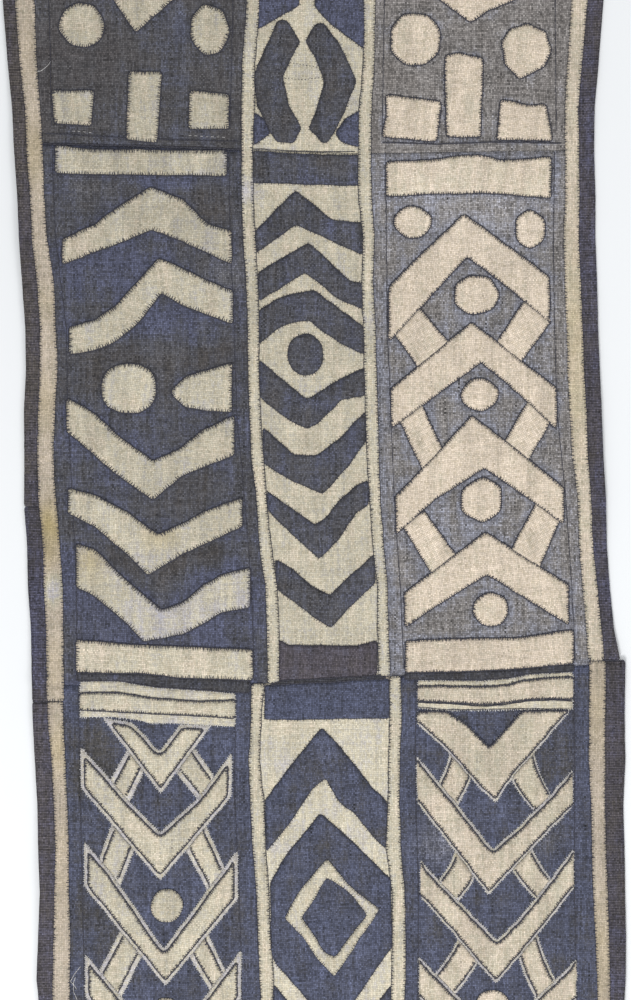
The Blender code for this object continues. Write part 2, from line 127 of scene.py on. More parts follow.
def make_camera():
    """A camera that looks straight down at the cloth, with the cloth's top end up."""
    data = bpy.data.cameras.new("camera")
    data.lens = LENS
    data.sensor_width = SENSOR
    camera = add_object("camera", data)
    camera.location = to_frame(*PICTURE_MIDDLE, PICTURE_HIGH * LENS / SENSOR)
    bpy.context.scene.camera = camera
    return camera


camera = make_camera()
print(f"the camera hangs {camera.location.z:.2f} m above the cloth")

# %% Floor and lights
FLOOR_SIZE = 12.0
FLOOR_DROP = 0.0002
FLOOR_COLOUR = (0.87, 0.88, 0.89)


def make_floor():
    """A plain pale floor just under the cloth."""
    shape = bmesh.new()
    bmesh.ops.create_grid(shape, x_segments=1, y_segments=1, size=FLOOR_SIZE / 2)
    mesh = bpy.data.meshes.new("floor")
    shape.to_mesh(mesh)
    shape.free()
    floor = add_object("floor", mesh)
    floor.location.z = -FLOOR_DROP
    material, _, shader = new_material("pale_floor")
    shader.inputs["Base Color"].default_value = (*FLOOR_COLOUR, 1.0)
    shader.inputs["Roughness"].default_value = 0.9
    mesh.materials.append(material)


def make_lamp(name, place, size, power):
    """A broad soft lamp that looks at the middle of the cloth."""
    data = bpy.data.lights.new(name, "AREA")
    data.shape = "DISK"
    data.size = size
    data.energy = power
    lamp = add_object(name, data)
    lamp.location = place
    lamp.rotation_euler = (-Vector(place)).to_track_quat("-Z", "Y").to_euler()


def make_sky(colour, strength):
    """An even pale light from all round."""
    world = bpy.data.worlds.new("soft_room")
    world.use_nodes = True
    background = world.node_tree.nodes["Background"]
    background.inputs["Color"].default_value = (*colour, 1.0)
    background.inputs["Strength"].default_value = strength
    bpy.context.scene.world = world


make_floor()
make_lamp("key", (-0.5, -2.6, 2.1), 1.0, 62.0)
make_lamp("fill", (2.6, 1.2, 2.4), 1.8, 26.0)
make_sky((0.96, 0.98, 1.0), 0.66)
bpy.context.scene.view_settings.view_transform = "Standard"
print("floor, two lamps and the sky are set")

# %% [markdown]
# ## How the cloth lies
#
# Old hand-sewn cloth never lies dead flat: it stands off the floor in low swells, it is fuller along the
# long seam, and the sewing cockles it a little all over. A simulation could settle it, but the cloth is
# already at rest, so one height function gives all of it. Each layer adds its own step to the same
# height, so that patches follow the ground they are sewn to.

# %% Swells, seams and cockles
SWELLS = (
    # x, y, height, reach
    (-330, 340, 3.0, 210),
    (-60, 640, 2.5, 200),
    (200, 430, 2.0, 200),
    (-210, 110, 2.5, 200),
    (345, 60, 3.0, 200),
    (-320, -460, 3.0, 210),
    (40, -410, 1.5, 180),
    (330, -600, 2.5, 210),
)
LONG_SEAM = ((-322, -213), (-60, -211), (360, -187))
LONG_SEAM_HIGH = 2.0
LONG_SEAM_REACH = 100.0
CREASES = (
    # from x, y, to x, y, height (less than 0 for a trough), half width
    (-322, -214, 360, -189, -1.1, 7),
    (-320, -200, -75, -204, 0.7, 9),
    (95, -194, 320, -180, 0.8, 9),
    (-310, 410, -75, 403, -0.8, 6),
    (-310, 420, -80, 413, 0.6, 8),
    (75, 401, 300, 402, -0.7, 6),
    (-60, 360, 55, 358, 0.6, 8),
    (-180, 330, -120, 215, 0.9, 16),
    (150, 300, 260, 250, 0.7, 14),
    (-250, 60, -110, 70, 0.6, 16),
    (10, -20, 25, -120, 0.7, 12),
    (-270, -370, -180, -430, 0.7, 12),
    (130, -300, 190, -400, 0.8, 12),
    (240, -470, 290, -410, 0.8, 10),
)
COCKLES = (
    # height, size, seed
    (1.0, 75.0, 11),
    (0.5, 27.0, 23),
)
LEAST_LIE = 0.02
SEED_APART = 7.31


def read_across(line, at):
    """The value at a place of a line of (place, value) points."""
    places, values = zip(*line)
    return np.interp(at, places, values)


def off_line(x, y, ax, ay, bx, by):
    """The distance of places from a straight line between two marks."""
    along = ((x - ax) * (bx - ax) + (y - ay) * (by - ay)) / ((bx - ax) ** 2 + (by - ay) ** 2)
    along = np.clip(along, 0.0, 1.0)
    return np.hypot(x - ax - along * (bx - ax), y - ay - along * (by - ay))


def soft_bump(distance, reach):
    """1 at no distance, falling softly to 0 at the reach."""
    near = np.clip(distance / reach, 0.0, 1.0)
    return np.cos(near * math.pi / 2) ** 2


def wander(x, y, size, seed):
    """Smooth noise from 0 to 1 over places, with hollows and humps of about the given size."""
    found = [noise.noise((a / size, b / size, seed * SEED_APART)) for a, b in zip(x.ravel(), y.ravel())]
    return np.clip(0.5 + 0.75 * np.array(found).reshape(x.shape), 0.0, 1.0)


def lie_of(x, y):
    """How far the underside of the cloth stands off the floor, in millimetres, at places given as arrays."""
    high = np.zeros_like(x)
    for sx, sy, top, reach in SWELLS:
        high += top * soft_bump(np.hypot(x - sx, y - sy), reach)
    high += LONG_SEAM_HIGH * soft_bump(np.abs(y - read_across(LONG_SEAM, x)), LONG_SEAM_REACH)
    for ax, ay, bx, by, top, width in CREASES:
        high += top * soft_bump(off_line(x, y, ax, ay, bx, by), width)
    for top, size, seed in COCKLES:
        high += top * wander(x, y, size, seed)
    return np.maximum(high, LEAST_LIE)


sample = np.linspace(-300, 300, 25)
grid_x, grid_y = np.meshgrid(sample, sample * 2)
print(f"the cloth stands {lie_of(grid_x, grid_y).mean():.1f} mm off the floor on average")

# %% [markdown]
# ## Cutting lines
#
# A patch is cut freehand with a knife, so its edge is nearly the drawn line but never quite. The packed
# solids hold the drawn lines: the rim of a solid's upper face is read back as a loop of chalk marks. It is
# then walked in short steps and pushed in and out a little by smooth noise, which keeps the shape and
# makes the edge look cut and not printed.

# %% Read the cutting line of a solid
UPWARD = 0.3
MARKS_PER_METRE = 1e5


def cut_loops(node):
    """The rims of a solid's upper face as closed loops of chalk marks, with the cloth to the left."""
    mesh = NODES[node].data
    spots = {}
    place_of = {}
    spot_of = []
    for vertex in mesh.vertices:
        key = tuple(round(value * MARKS_PER_METRE) for value in vertex.co)
        spot = spots.setdefault(key, len(spots))
        place_of[spot] = to_chart(vertex.co)
        spot_of.append(spot)
    sides = set()
    for face in mesh.polygons:
        if face.normal.z > UPWARD:
            ring = [spot_of[index] for index in face.vertices]
            sides.update(zip(ring, ring[1:] + ring[:1]))
    after = {a: b for a, b in sides if (b, a) not in sides}
    loops = []
    while after:
        start, spot = after.popitem()
        loop = [place_of[start]]
        while spot != start:
            loop.append(place_of[spot])
            spot = after.pop(spot)
        loops.append(np.array(loop))
    return sorted(loops, key=lambda loop: -abs(area_of(loop)))


def area_of(loop):
    """The area inside a loop, in square millimetres, less than 0 if it runs clockwise."""
    x, y = loop.T
    return 0.5 * float(np.sum(x * np.roll(y, -1) - np.roll(x, -1) * y))


def length_of(loop):
    """The length round a loop in millimetres."""
    return float(np.hypot(*(np.roll(loop, -1, axis=0) - loop).T).sum())


ring_cut = cut_loops("diamond_ring")
print("the ring's outer and inner cuts measure", [round(length_of(loop)) for loop in ring_cut], "mm")

# %% Walk a cutting line and make it uneven
CUT_STEP = 2.5


def lengths_to(line):
    """The way along a line of points from the first of them to each of them."""
    return np.concatenate([[0.0], np.cumsum(np.hypot(*np.diff(line, axis=0).T))])


def places_on(line, at):
    """The places that lie at some lengths along a line of points."""
    gone = lengths_to(line)
    return np.column_stack([np.interp(at, gone, line[:, 0]), np.interp(at, gone, line[:, 1])])


def walk(loop, step=CUT_STEP):
    """The same loop with evenly spaced points."""
    closed = np.vstack([loop, loop[:1]])
    whole = lengths_to(closed)[-1]
    count = max(8, round(whole / step))
    return places_on(closed, np.arange(count) * whole / count)


def blunted(loop):
    """A loop with its corners a little rounded off."""
    return (np.roll(loop, 1, axis=0) + 2 * loop + np.roll(loop, -1, axis=0)) / 4


def inward_of(loop):
    """For each point of a loop, the direction across it towards the cloth, which lies to its left."""
    along = np.roll(loop, -1, axis=0) - np.roll(loop, 1, axis=0)
    along /= np.hypot(*along.T)[:, None]
    return np.column_stack([-along[:, 1], along[:, 0]])


def cut_by_hand(loop, uneven, seed):
    """A cutting line as a knife leaves it: corners a little blunt, the edge wandering by up to uneven."""
    loop = blunted(walk(loop))
    x, y = loop.T
    shift = (wander(x, y, 9.0, seed) + 0.6 * wander(x, y, 30.0, seed + 5) - 0.8) * 2 * uneven
    return loop + inward_of(loop) * shift[:, None]


print("a chevron has", len(cut_by_hand(cut_loops("peak_left_1")[0], 0.6, 1)), "points round its edge")

# %% Distances and insides
PAIRS_AT_ONCE = 2000000


def sides_of(loops):
    """The starts and the directions of all the sides of some loops."""
    starts = np.vstack(loops)
    ends = np.vstack([np.roll(loop, -1, axis=0) for loop in loops])
    return starts, ends - starts


def nearest_on(points, loops):
    """For each point, its distance to the nearest side of some loops and the place there."""
    starts, runs = sides_of(loops)
    long = (runs ** 2).sum(axis=1)
    distances, places = [], []
    for part in np.array_split(points, max(1, len(points) * len(starts) // PAIRS_AT_ONCE)):
        gap = part[:, None] - starts[None]
        along = np.clip((gap * runs).sum(axis=2) / long, 0.0, 1.0)
        spot = starts + along[..., None] * runs
        away = np.hypot(*np.moveaxis(part[:, None] - spot, 2, 0))
        best = away.argmin(axis=1)
        rows = np.arange(len(part))
        distances.append(away[rows, best])
        places.append(spot[rows, best])
    return np.concatenate(distances), np.vstack(places)


def inside(points, loops):
    """Which points lie within the cloth that some loops bound, by counting the sides above each."""
    starts, runs = sides_of(loops)
    ends = starts + runs
    found = []
    for part in np.array_split(points, max(1, len(points) * len(starts) // PAIRS_AT_ONCE)):
        x, y = part[:, :1], part[:, 1:]
        spans = (starts[:, 0] <= x) != (ends[:, 0] <= x)
        run = np.where(runs[:, 0] == 0.0, 1.0, runs[:, 0])
        level = starts[:, 1] + (x - starts[:, 0]) / run * runs[:, 1]
        found.append((spans & (level > y)).sum(axis=1) % 2 == 1)
    return np.concatenate(found)


def beside(loop, others, gap=0.5):
    """A cutting line with what overlaps its neighbours trimmed to lie just beside them."""
    trimmed = loop.copy()
    for other in others:
        away, place = nearest_on(trimmed, [other])
        over = inside(trimmed, [other]) | (away < gap)
        outward = -inward_of(other)
        spot = np.hypot(*np.moveaxis(place[:, None] - other[None], 2, 0)).argmin(axis=1)
        trimmed[over] = (place + outward[spot] * gap)[over]
    return trimmed


print("the ring's middle is bare:", not inside(np.array([[20.0, -480.0]]), ring_cut)[0])

# %% [markdown]
# ## A sheet of cloth
#
# Cloth that follows a height function needs points all over, and an edge that runs exactly along its cut.
# A grid cannot do both. Here points are set out like the centres of honeycomb cells, the cut is added,
# and a constrained Delaunay triangulation joins them, which Blender offers in mathutils. A Solidify
# modifier gives the sheet its thickness. Away from its sewn edge a patch is a little fuller than the
# stitches hold it, so it rises by a fraction of a millimetre.

# %% Fill a cutting line with triangles
ROW_SHARE = math.sqrt(3) / 2


def fill(loops, spacing):
    """Points and triangles that cover the cloth inside some loops, with honeycomb spacing."""
    rim = np.vstack(loops)
    low, high = rim.min(axis=0), rim.max(axis=0)
    columns = np.arange(low[0], high[0] + spacing, spacing)
    rows = np.arange(low[1], high[1] + spacing, spacing * ROW_SHARE)
    grid = [(x + spacing / 2 * (row % 2), y) for row, y in enumerate(rows) for x in columns]
    grid = np.array(grid)
    grid = grid[inside(grid, loops)]
    away, _ = nearest_on(grid, loops)
    places = np.vstack([rim, grid[away > spacing * 0.6]])
    sides = []
    first = 0
    for loop in loops:
        ring = list(range(first, first + len(loop)))
        sides += list(zip(ring, ring[1:] + ring[:1]))
        first += len(loop)
    made = geometry.delaunay_2d_cdt([Vector(place) for place in places], sides, [], 0, 1e-5)
    points = np.array([tuple(point) for point in made[0]])
    faces = np.array([face for face in made[2] if len(face) == 3])
    faces = faces[inside(points[faces].mean(axis=1), loops)]
    used = np.unique(faces)
    fresh = np.full(len(points), -1)
    fresh[used] = np.arange(len(used))
    return points[used], fresh[faces]


trial = fill(ring_cut, 4.0)
print(f"the ring takes {len(trial[0])} points and {len(trial[1])} triangles")

# %% [markdown]
# ## The weave
#
# Raffia is split palm leaf, so no two threads are alike: each has its own width and tone, and some are
# pale or nearly black. The cloth is a plain weave, each thread over one and under the next. The material
# draws that from the grain marks of each piece, in millimetres: whole numbers tell the threads apart, the
# rest tells the place across a thread, and an odd or even sum of the two tells which thread lies on top.
# It is one node group, so that all finishes share the same cloth.

# %% Small helpers for nodes
def put(tree, kind, **settings):
    """Adds a node of a kind to a tree and sets what is named."""
    node = tree.nodes.new(kind)
    for key, value in settings.items():
        setattr(node, key, value)
    return node


def plug(tree, source, target):
    """Links a socket, or sets a plain value, on a target socket."""
    if isinstance(source, bpy.types.NodeSocket):
        tree.links.new(source, target)
    else:
        target.default_value = source


def reckon(tree, operation, first, second=0.0, third=0.0, clamp=False):
    """A Math node; its inputs are sockets or numbers, and its answer is the socket returned."""
    node = put(tree, "ShaderNodeMath", operation=operation, use_clamp=clamp)
    for value, socket in zip((first, second, third), node.inputs):
        plug(tree, value, socket)
    return node.outputs[0]


def mixed(tree, share, first, second):
    """The mix of two numbers or number sockets."""
    node = put(tree, "ShaderNodeMix", data_type="FLOAT")
    plug(tree, share, node.inputs[0])
    plug(tree, first, node.inputs[2])
    plug(tree, second, node.inputs[3])
    return node.outputs[0]


def mixed_colour(tree, share, first, second):
    """The mix of two colours or colour sockets."""
    node = put(tree, "ShaderNodeMix", data_type="RGBA")
    plug(tree, share, node.inputs[0])
    for value, socket in ((first, node.inputs[6]), (second, node.inputs[7])):
        plug(tree, value if isinstance(value, bpy.types.NodeSocket) else (*value, 1.0), socket)
    return node.outputs[2]


def vector_of(tree, x, y, z=0.0):
    """A vector from three numbers or number sockets."""
    node = put(tree, "ShaderNodeCombineXYZ")
    for value, socket in zip((x, y, z), node.inputs):
        plug(tree, value, socket)
    return node.outputs[0]


def cloudy(tree, vector, scale, detail=2.0):
    """Smooth noise from 0 to 1 at a vector."""
    node = put(tree, "ShaderNodeTexNoise")
    node.inputs["Scale"].default_value = scale
    node.inputs["Detail"].default_value = detail
    plug(tree, vector, node.inputs["Vector"])
    return node.outputs["Fac"]


def chance(tree, vector):
    """A number from 0 to 1 that belongs to a vector alone."""
    node = put(tree, "ShaderNodeTexWhiteNoise", noise_dimensions="2D")
    plug(tree, vector, node.inputs["Vector"])
    return node.outputs["Value"]


print("node helpers are ready")

# %% The plain weave, as a group
WARP_PITCH = 1.95
WEFT_PITCH = 2.15
SWAYS = (
    # how far threads sway, in millimetres, and how fine the noise is that sways warp and weft
    (2.4, 0.11, 0.14),
    (1.5, 0.42, 0.53),
)
# how fine the noise is from thread to thread, along a thread, and along and across the broad streaks
THREADS_FINE = 7.3
TONES_FINE = 0.035
STREAKS_FINE_ALONG = 0.014
STREAKS_FINE_WARP = 0.22
STREAKS_FINE_WEFT = 0.28
WEFT_STREAKS = 0.4
# dark lengths of warp: how dark, how rare, how many to a millimetre, and how their ends are staggered
STRAY_DARK = 0.26
STRAY_RARE = 9.0
STRAY_FINE = 0.016
STRAY_STAGGER = 0.37
FLECKS_AT = (517.0, 133.0)


def thread_across(tree, along, pitch):
    """A thread's number, and how far it bulges at a place across it."""
    marks = reckon(tree, "DIVIDE", along, pitch)
    number = reckon(tree, "FLOOR", marks)
    across = reckon(tree, "MULTIPLY_ADD", reckon(tree, "FRACT", marks), 2.0, -1.0)
    bulge = reckon(tree, "SUBTRACT", 1.0, reckon(tree, "MULTIPLY", across, across))
    return number, bulge


def stretched_noise(tree, across, fine_across, along, fine_along, detail=2.0):
    """Smooth noise that is as fine as given across and along."""
    across = reckon(tree, "MULTIPLY", across, fine_across)
    along = reckon(tree, "MULTIPLY", along, fine_along)
    return cloudy(tree, vector_of(tree, across, along), 1.0, detail)


def make_weave_group():
    """The node group that turns grain marks into the weave's tone, height, specks, flecks and streaks."""
    tree = bpy.data.node_groups.new("plain_weave", "ShaderNodeTree")
    tree.interface.new_socket("Grain", in_out="INPUT", socket_type="NodeSocketVector")
    for name in ("Tone", "Height", "Speckle", "Fleck", "Streak"):
        tree.interface.new_socket(name, in_out="OUTPUT", socket_type="NodeSocketFloat")
    grain = put(tree, "NodeGroupInput").outputs["Grain"]
    answer = put(tree, "NodeGroupOutput")

    split = put(tree, "ShaderNodeSeparateXYZ")
    plug(tree, grain, split.inputs[0])
    x, y = split.outputs[:2]
    for sway, fine_warp, fine_weft in SWAYS:
        x = reckon(tree, "MULTIPLY_ADD", cloudy(tree, grain, fine_warp, 1.0), sway, x)
        y = reckon(tree, "MULTIPLY_ADD", cloudy(tree, grain, fine_weft, 1.0), sway, y)

    warp, warp_bulge = thread_across(tree, x, WARP_PITCH)
    weft, weft_bulge = thread_across(tree, y, WEFT_PITCH)
    over = reckon(tree, "FLOORED_MODULO", reckon(tree, "ADD", warp, weft), 2.0)

    warp_top = reckon(tree, "MULTIPLY", warp_bulge, reckon(tree, "MULTIPLY_ADD", weft_bulge, 0.5, 0.5))
    weft_top = reckon(tree, "MULTIPLY", weft_bulge, reckon(tree, "MULTIPLY_ADD", warp_bulge, 0.5, 0.5))
    height = mixed(tree, over, weft_top, warp_top)

    warp_tone = stretched_noise(tree, warp, THREADS_FINE, y, TONES_FINE, 1.0)
    weft_tone = stretched_noise(tree, x, TONES_FINE, weft, THREADS_FINE, 1.0)
    ahead = reckon(tree, "MULTIPLY", warp, STRAY_STAGGER)
    stretch = reckon(tree, "FLOOR", reckon(tree, "MULTIPLY_ADD", y, STRAY_FINE, ahead))
    stray = reckon(tree, "POWER", chance(tree, vector_of(tree, warp, stretch)), STRAY_RARE)
    warp_tone = reckon(tree, "MULTIPLY_ADD", stray, -STRAY_DARK, warp_tone)
    tone = mixed(tree, over, weft_tone, warp_tone)

    broad_warp = stretched_noise(tree, x, STREAKS_FINE_WARP, y, STREAKS_FINE_ALONG)
    broad_weft = stretched_noise(tree, x, STREAKS_FINE_ALONG, y, STREAKS_FINE_WEFT)
    streak = mixed(tree, WEFT_STREAKS, broad_warp, broad_weft)

    plug(tree, tone, answer.inputs["Tone"])
    plug(tree, height, answer.inputs["Height"])
    plug(tree, chance(tree, vector_of(tree, warp, weft)), answer.inputs["Speckle"])
    far_off = vector_of(tree, *(reckon(tree, "ADD", *pair) for pair in zip((warp, weft), FLECKS_AT)))
    plug(tree, chance(tree, far_off), answer.inputs["Fleck"])
    plug(tree, streak, answer.inputs["Streak"])
    return tree


weave_group = make_weave_group()
print(f"the weave has {10 / WARP_PITCH:.1f} warp and {10 / WEFT_PITCH:.1f} weft threads to the centimetre")

# %% [markdown]
# ## Dyes
#
# The pale cloth is bare raffia, from greyish white through straw to a pinkish cream. The dark cloth was
# dipped in mud and indigo by hand, and old dye wanders between brown and blue within one panel. So each
# finish has three colours in a row, and every sheet carries a point attribute named dye: how far along
# that row it is, how light it is, and how much the surface has worn pale. How light it is also holds
# painted shade near a patch's own edge, beside sewn edges and along seams. Its last value falls below one
# where bare raffia has turned golden with age. The weave then varies the colour from thread to thread, and
# paints light on the crowns of the threads and shade in the gaps between them.

# %% The finishes
FINISHES = {
    # slot: three colours from its first to its last, and its deepest fleck
    "natural_raffia": (
        (0.54, 0.515, 0.552), (0.580, 0.533, 0.412), (0.700, 0.590, 0.476), (0.30, 0.245, 0.130),
    ),
    "slate_raffia": (
        (0.078, 0.069, 0.065), (0.083, 0.083, 0.097), (0.084, 0.091, 0.146), (0.020, 0.019, 0.026),
    ),
    "brown_raffia": (
        (0.086, 0.076, 0.076), (0.090, 0.086, 0.090), (0.094, 0.100, 0.140), (0.022, 0.020, 0.024),
    ),
    "grey_raffia": (
        (0.190, 0.172, 0.160), (0.250, 0.232, 0.222), (0.235, 0.240, 0.285), (0.070, 0.062, 0.062),
    ),
    "indigo_raffia": (
        (0.080, 0.073, 0.068), (0.076, 0.082, 0.122), (0.085, 0.096, 0.158), (0.018, 0.019, 0.030),
    ),
    "plum_raffia": (
        (0.084, 0.070, 0.070), (0.088, 0.076, 0.092), (0.084, 0.084, 0.118), (0.024, 0.020, 0.026),
    ),
    "border_raffia": (
        (0.086, 0.073, 0.066), (0.074, 0.066, 0.082), (0.084, 0.084, 0.138), (0.018, 0.016, 0.022),
    ),
}
KINDS = {"natural_raffia": "pale", "grey_raffia": "grey"}
SPREADS = {
    # kind: how much threads, crossings, deep flecks, and broad streaks vary
    "pale": (0.32, 0.17, 0.40, 0.20),
    "grey": (0.80, 0.56, 0.60, 0.62),
    "dark": (0.70, 0.46, 0.60, 0.66),
}
PAINTED_RELIEF_LIGHT_AND_SHADE = {
    # kind: painted light on the crown of a thread and painted shade in the gaps: how much lighter the crown
    # is, and how light the gaps between threads are
    "pale": (0.50, 0.73),
    "grey": (1.00, 0.50),
    "dark": (0.85, 0.54),
}
WORN = {"natural_raffia": (0.72, 0.69, 0.66)}
WORN_DARK = (0.30, 0.29, 0.30)
GOLDEN = (0.60, 0.475, 0.225)
# finishes with ribs, and how much painted light and shade follow the height of the ribs
RIBS_AND_PAINTED_RIB_SHADE = {"border_raffia": 0.26}
RIB_PITCH = 3.1
RIB_HEIGHT = 0.5
DARKEST = 0.08
RUBBED_GAPS = 0.3
FLECKS_RARE = 2.2
BUMP_DEPTH = 0.0003
BUMP_STRENGTH = 0.8
ROW_STREAK = 1.1
ROW_FLECK = 0.24
LIGHT_LEAST = 0.6
LIGHT_SPAN = 0.8
ROUGHNESS_LEAST = 0.78
ROUGHNESS_SPAN = 0.14


def centred(tree, value, spread):
    """A number from 0 to 1 as one that spreads to both sides of zero."""
    return reckon(tree, "MULTIPLY_ADD", value, spread, -spread / 2)


def dyed_colour(tree, slot, row, worn, golden, weave):
    """The colour of a place: its dye, mixed along the finish's row, with flecks and worn threads."""
    first, middle, last, deep = FINISHES[slot]
    place = reckon(tree, "ADD", row, centred(tree, weave["Streak"], ROW_STREAK))
    place = reckon(tree, "ADD", place, centred(tree, weave["Fleck"], ROW_FLECK))
    low = mixed_colour(tree, reckon(tree, "MULTIPLY", place, 2.0, clamp=True), first, middle)
    high = reckon(tree, "MULTIPLY_ADD", place, 2.0, -1.0, clamp=True)
    colour = mixed_colour(tree, high, low, last)
    if slot == "natural_raffia":
        colour = mixed_colour(tree, golden, colour, GOLDEN)
    open_to_wear = reckon(tree, "ADD", weave["Height"], RUBBED_GAPS)
    rubbed = reckon(tree, "MULTIPLY", worn, open_to_wear, clamp=True)
    colour = mixed_colour(tree, rubbed, colour, WORN.get(slot, WORN_DARK))
    spread = SPREADS[KINDS.get(slot, "dark")][2]
    fleck = reckon(tree, "POWER", weave["Speckle"], FLECKS_RARE)
    return mixed_colour(tree, reckon(tree, "MULTIPLY", fleck, spread), colour, deep)


def make_finish(slot):
    """The material of a finish: dyed thread by thread, with the weave raised, and painted light on the thread
    crowns and painted shade in the gaps.
    """
    threads, crossings, _, streaky = SPREADS[KINDS.get(slot, "dark")]
    material, tree, shader = new_material(slot)
    grain = put(tree, "ShaderNodeAttribute", attribute_name="weave").outputs["Vector"]
    dye = put(tree, "ShaderNodeAttribute", attribute_name="dye")
    split = put(tree, "ShaderNodeSeparateColor")
    plug(tree, dye.outputs["Color"], split.inputs[0])
    row, lightness, worn = split.outputs
    golden = reckon(tree, "MULTIPLY_ADD", dye.outputs["Alpha"], -1.0, 1.0, clamp=True)
    weave = put(tree, "ShaderNodeGroup", node_tree=weave_group)
    plug(tree, grain, weave.inputs["Grain"])
    weave = weave.outputs
    height = weave["Height"]

    factor = reckon(tree, "MULTIPLY_ADD", weave["Tone"], 2 * threads, 1.0 - threads)
    factor = reckon(tree, "ADD", factor, centred(tree, weave["Fleck"], crossings))
    factor = reckon(tree, "ADD", factor, centred(tree, weave["Streak"], 2 * streaky))
    if slot in RIBS_AND_PAINTED_RIB_SHADE:
        axes = put(tree, "ShaderNodeSeparateXYZ")
        plug(tree, grain, axes.inputs[0])
        rib = reckon(tree, "SINE", reckon(tree, "MULTIPLY", axes.outputs[1], math.tau / RIB_PITCH))
        # the tone follows the rib's height: painted light on the ribs and painted shade between them
        factor = reckon(tree, "MULTIPLY_ADD", rib, RIBS_AND_PAINTED_RIB_SHADE[slot], factor)
        height = reckon(tree, "MULTIPLY_ADD", rib, RIB_HEIGHT, height)
    # painted light on the crowns of the threads and painted shade in the gaps between them
    raised, gaps = PAINTED_RELIEF_LIGHT_AND_SHADE[KINDS.get(slot, "dark")]
    factor = reckon(tree, "MULTIPLY", factor, reckon(tree, "MULTIPLY_ADD", weave["Height"], raised, gaps))
    # lightness also holds painted shade near edges, beside sewn edges and along seams
    lightness = reckon(tree, "MULTIPLY_ADD", lightness, LIGHT_SPAN, LIGHT_LEAST)
    factor = reckon(tree, "MULTIPLY", factor, lightness)
    scaled = put(tree, "ShaderNodeVectorMath", operation="SCALE")
    plug(tree, dyed_colour(tree, slot, row, worn, golden, weave), scaled.inputs[0])
    plug(tree, reckon(tree, "MAXIMUM", factor, DARKEST), scaled.inputs["Scale"])
    plug(tree, scaled.outputs[0], shader.inputs["Base Color"])

    roughness = reckon(tree, "MULTIPLY_ADD", weave["Speckle"], ROUGHNESS_SPAN, ROUGHNESS_LEAST)
    plug(tree, roughness, shader.inputs["Roughness"])
    bump = put(tree, "ShaderNodeBump")
    bump.inputs["Strength"].default_value = BUMP_STRENGTH
    bump.inputs["Distance"].default_value = BUMP_DEPTH
    plug(tree, height, bump.inputs["Height"])
    plug(tree, bump.outputs[0], shader.inputs["Normal"])
    return material


finishes = {slot: make_finish(slot) for slot in FINISHES}
print("finishes:", ", ".join(finishes))

# %% [markdown]
# ## Where the dye wanders
#
# Dye is uneven on a large scale too: a panel may be blue in one corner and brown in another, a faded
# patch may run along a fold, and handling leaves grey marks. Each such place is one row of a table, a
# soft round blot with its own reach both ways. Noise then breaks the blots up, so that no edge of them
# can be seen.

# %% Blots of dye
BLOTS = (
    # x, y, reach across, reach along, shift along the dye's row, shift of lightness
    # left middle panel: blue above and at the foot, brown across the middle
    (-235, 275, 75, 50, 0.55, 0.04),
    (-150, 366, 60, 10, 0.55, 0.12),
    (-240, 345, 45, 35, -0.10, -0.06),
    (-120, 330, 40, 60, -0.30, 0.00),
    (-200, 160, 120, 42, -0.45, -0.03),
    (-165, 200, 60, 30, 0.60, 0.08),
    (-255, 60, 45, 40, 0.30, 0.03),
    (-130, 10, 60, 35, -0.30, -0.04),
    (-180, -68, 90, 30, -0.60, -0.07),
    (-235, -132, 60, 45, 0.70, -0.12),
    (-110, -148, 55, 32, 0.60, -0.02),
    (-262, -90, 55, 40, 0.90, -0.02),
    (-112, -98, 48, 32, 0.90, 0.00),
    # left low panel: brown at the upper left, bluer below
    (-255, -300, 34, 60, -0.60, -0.12),
    (-110, -300, 40, 60, 0.20, 0.05),
    (-240, -470, 40, 80, -0.35, -0.06),
    (-170, -500, 60, 60, 0.10, 0.00),
    # left top panel
    (-270, 500, 60, 60, -0.25, -0.05),
    (-170, 520, 50, 60, 0.30, 0.03),
    (-120, 380, 60, 30, -0.20, 0.00),
    # right panels: faded across the top of the middle one, browner in the top one
    (180, 335, 120, 45, 0.05, 0.40),
    (120, 470, 60, 60, -0.20, 0.04),
    (240, 560, 60, 60, -0.10, 0.06),
    (270, 80, 50, 120, -0.15, -0.04),
    (150, -30, 60, 60, 0.10, 0.05),
    (140, -140, 60, 40, -0.10, -0.06),
    # right low panel
    (160, -400, 40, 60, 0.20, 0.12),
    (215, -353, 32, 22, 0.00, 0.18),
    (270, -300, 40, 70, -0.20, -0.05),
    (220, -600, 80, 60, 0.10, 0.05),
    # centre column
    (10, 300, 60, 90, 0.05, 0.04),
    (0, 384, 70, 20, -0.22, 0.08),
    (-20, 60, 50, 50, 0.05, 0.05),
    (20, -190, 50, 30, -0.10, 0.00),
    (-30, -260, 60, 40, 0.20, 0.00),
    (20, -420, 60, 60, -0.20, -0.05),
    # borders
    (-340, 130, 40, 170, -0.45, 0.22),
    (-350, 440, 40, 170, -0.40, 0.22),
    (-335, -50, 30, 50, 0.05, -0.12),
    (-330, -150, 30, 60, 0.45, 0.06),
    (-330, -400, 30, 200, -0.35, 0.00),
    (330, 300, 30, 150, 0.25, 0.06),
    (335, -60, 30, 90, 0.30, 0.04),
    (355, -330, 30, 90, -0.20, 0.02),
    (355, -560, 30, 120, 0.20, 0.00),
)
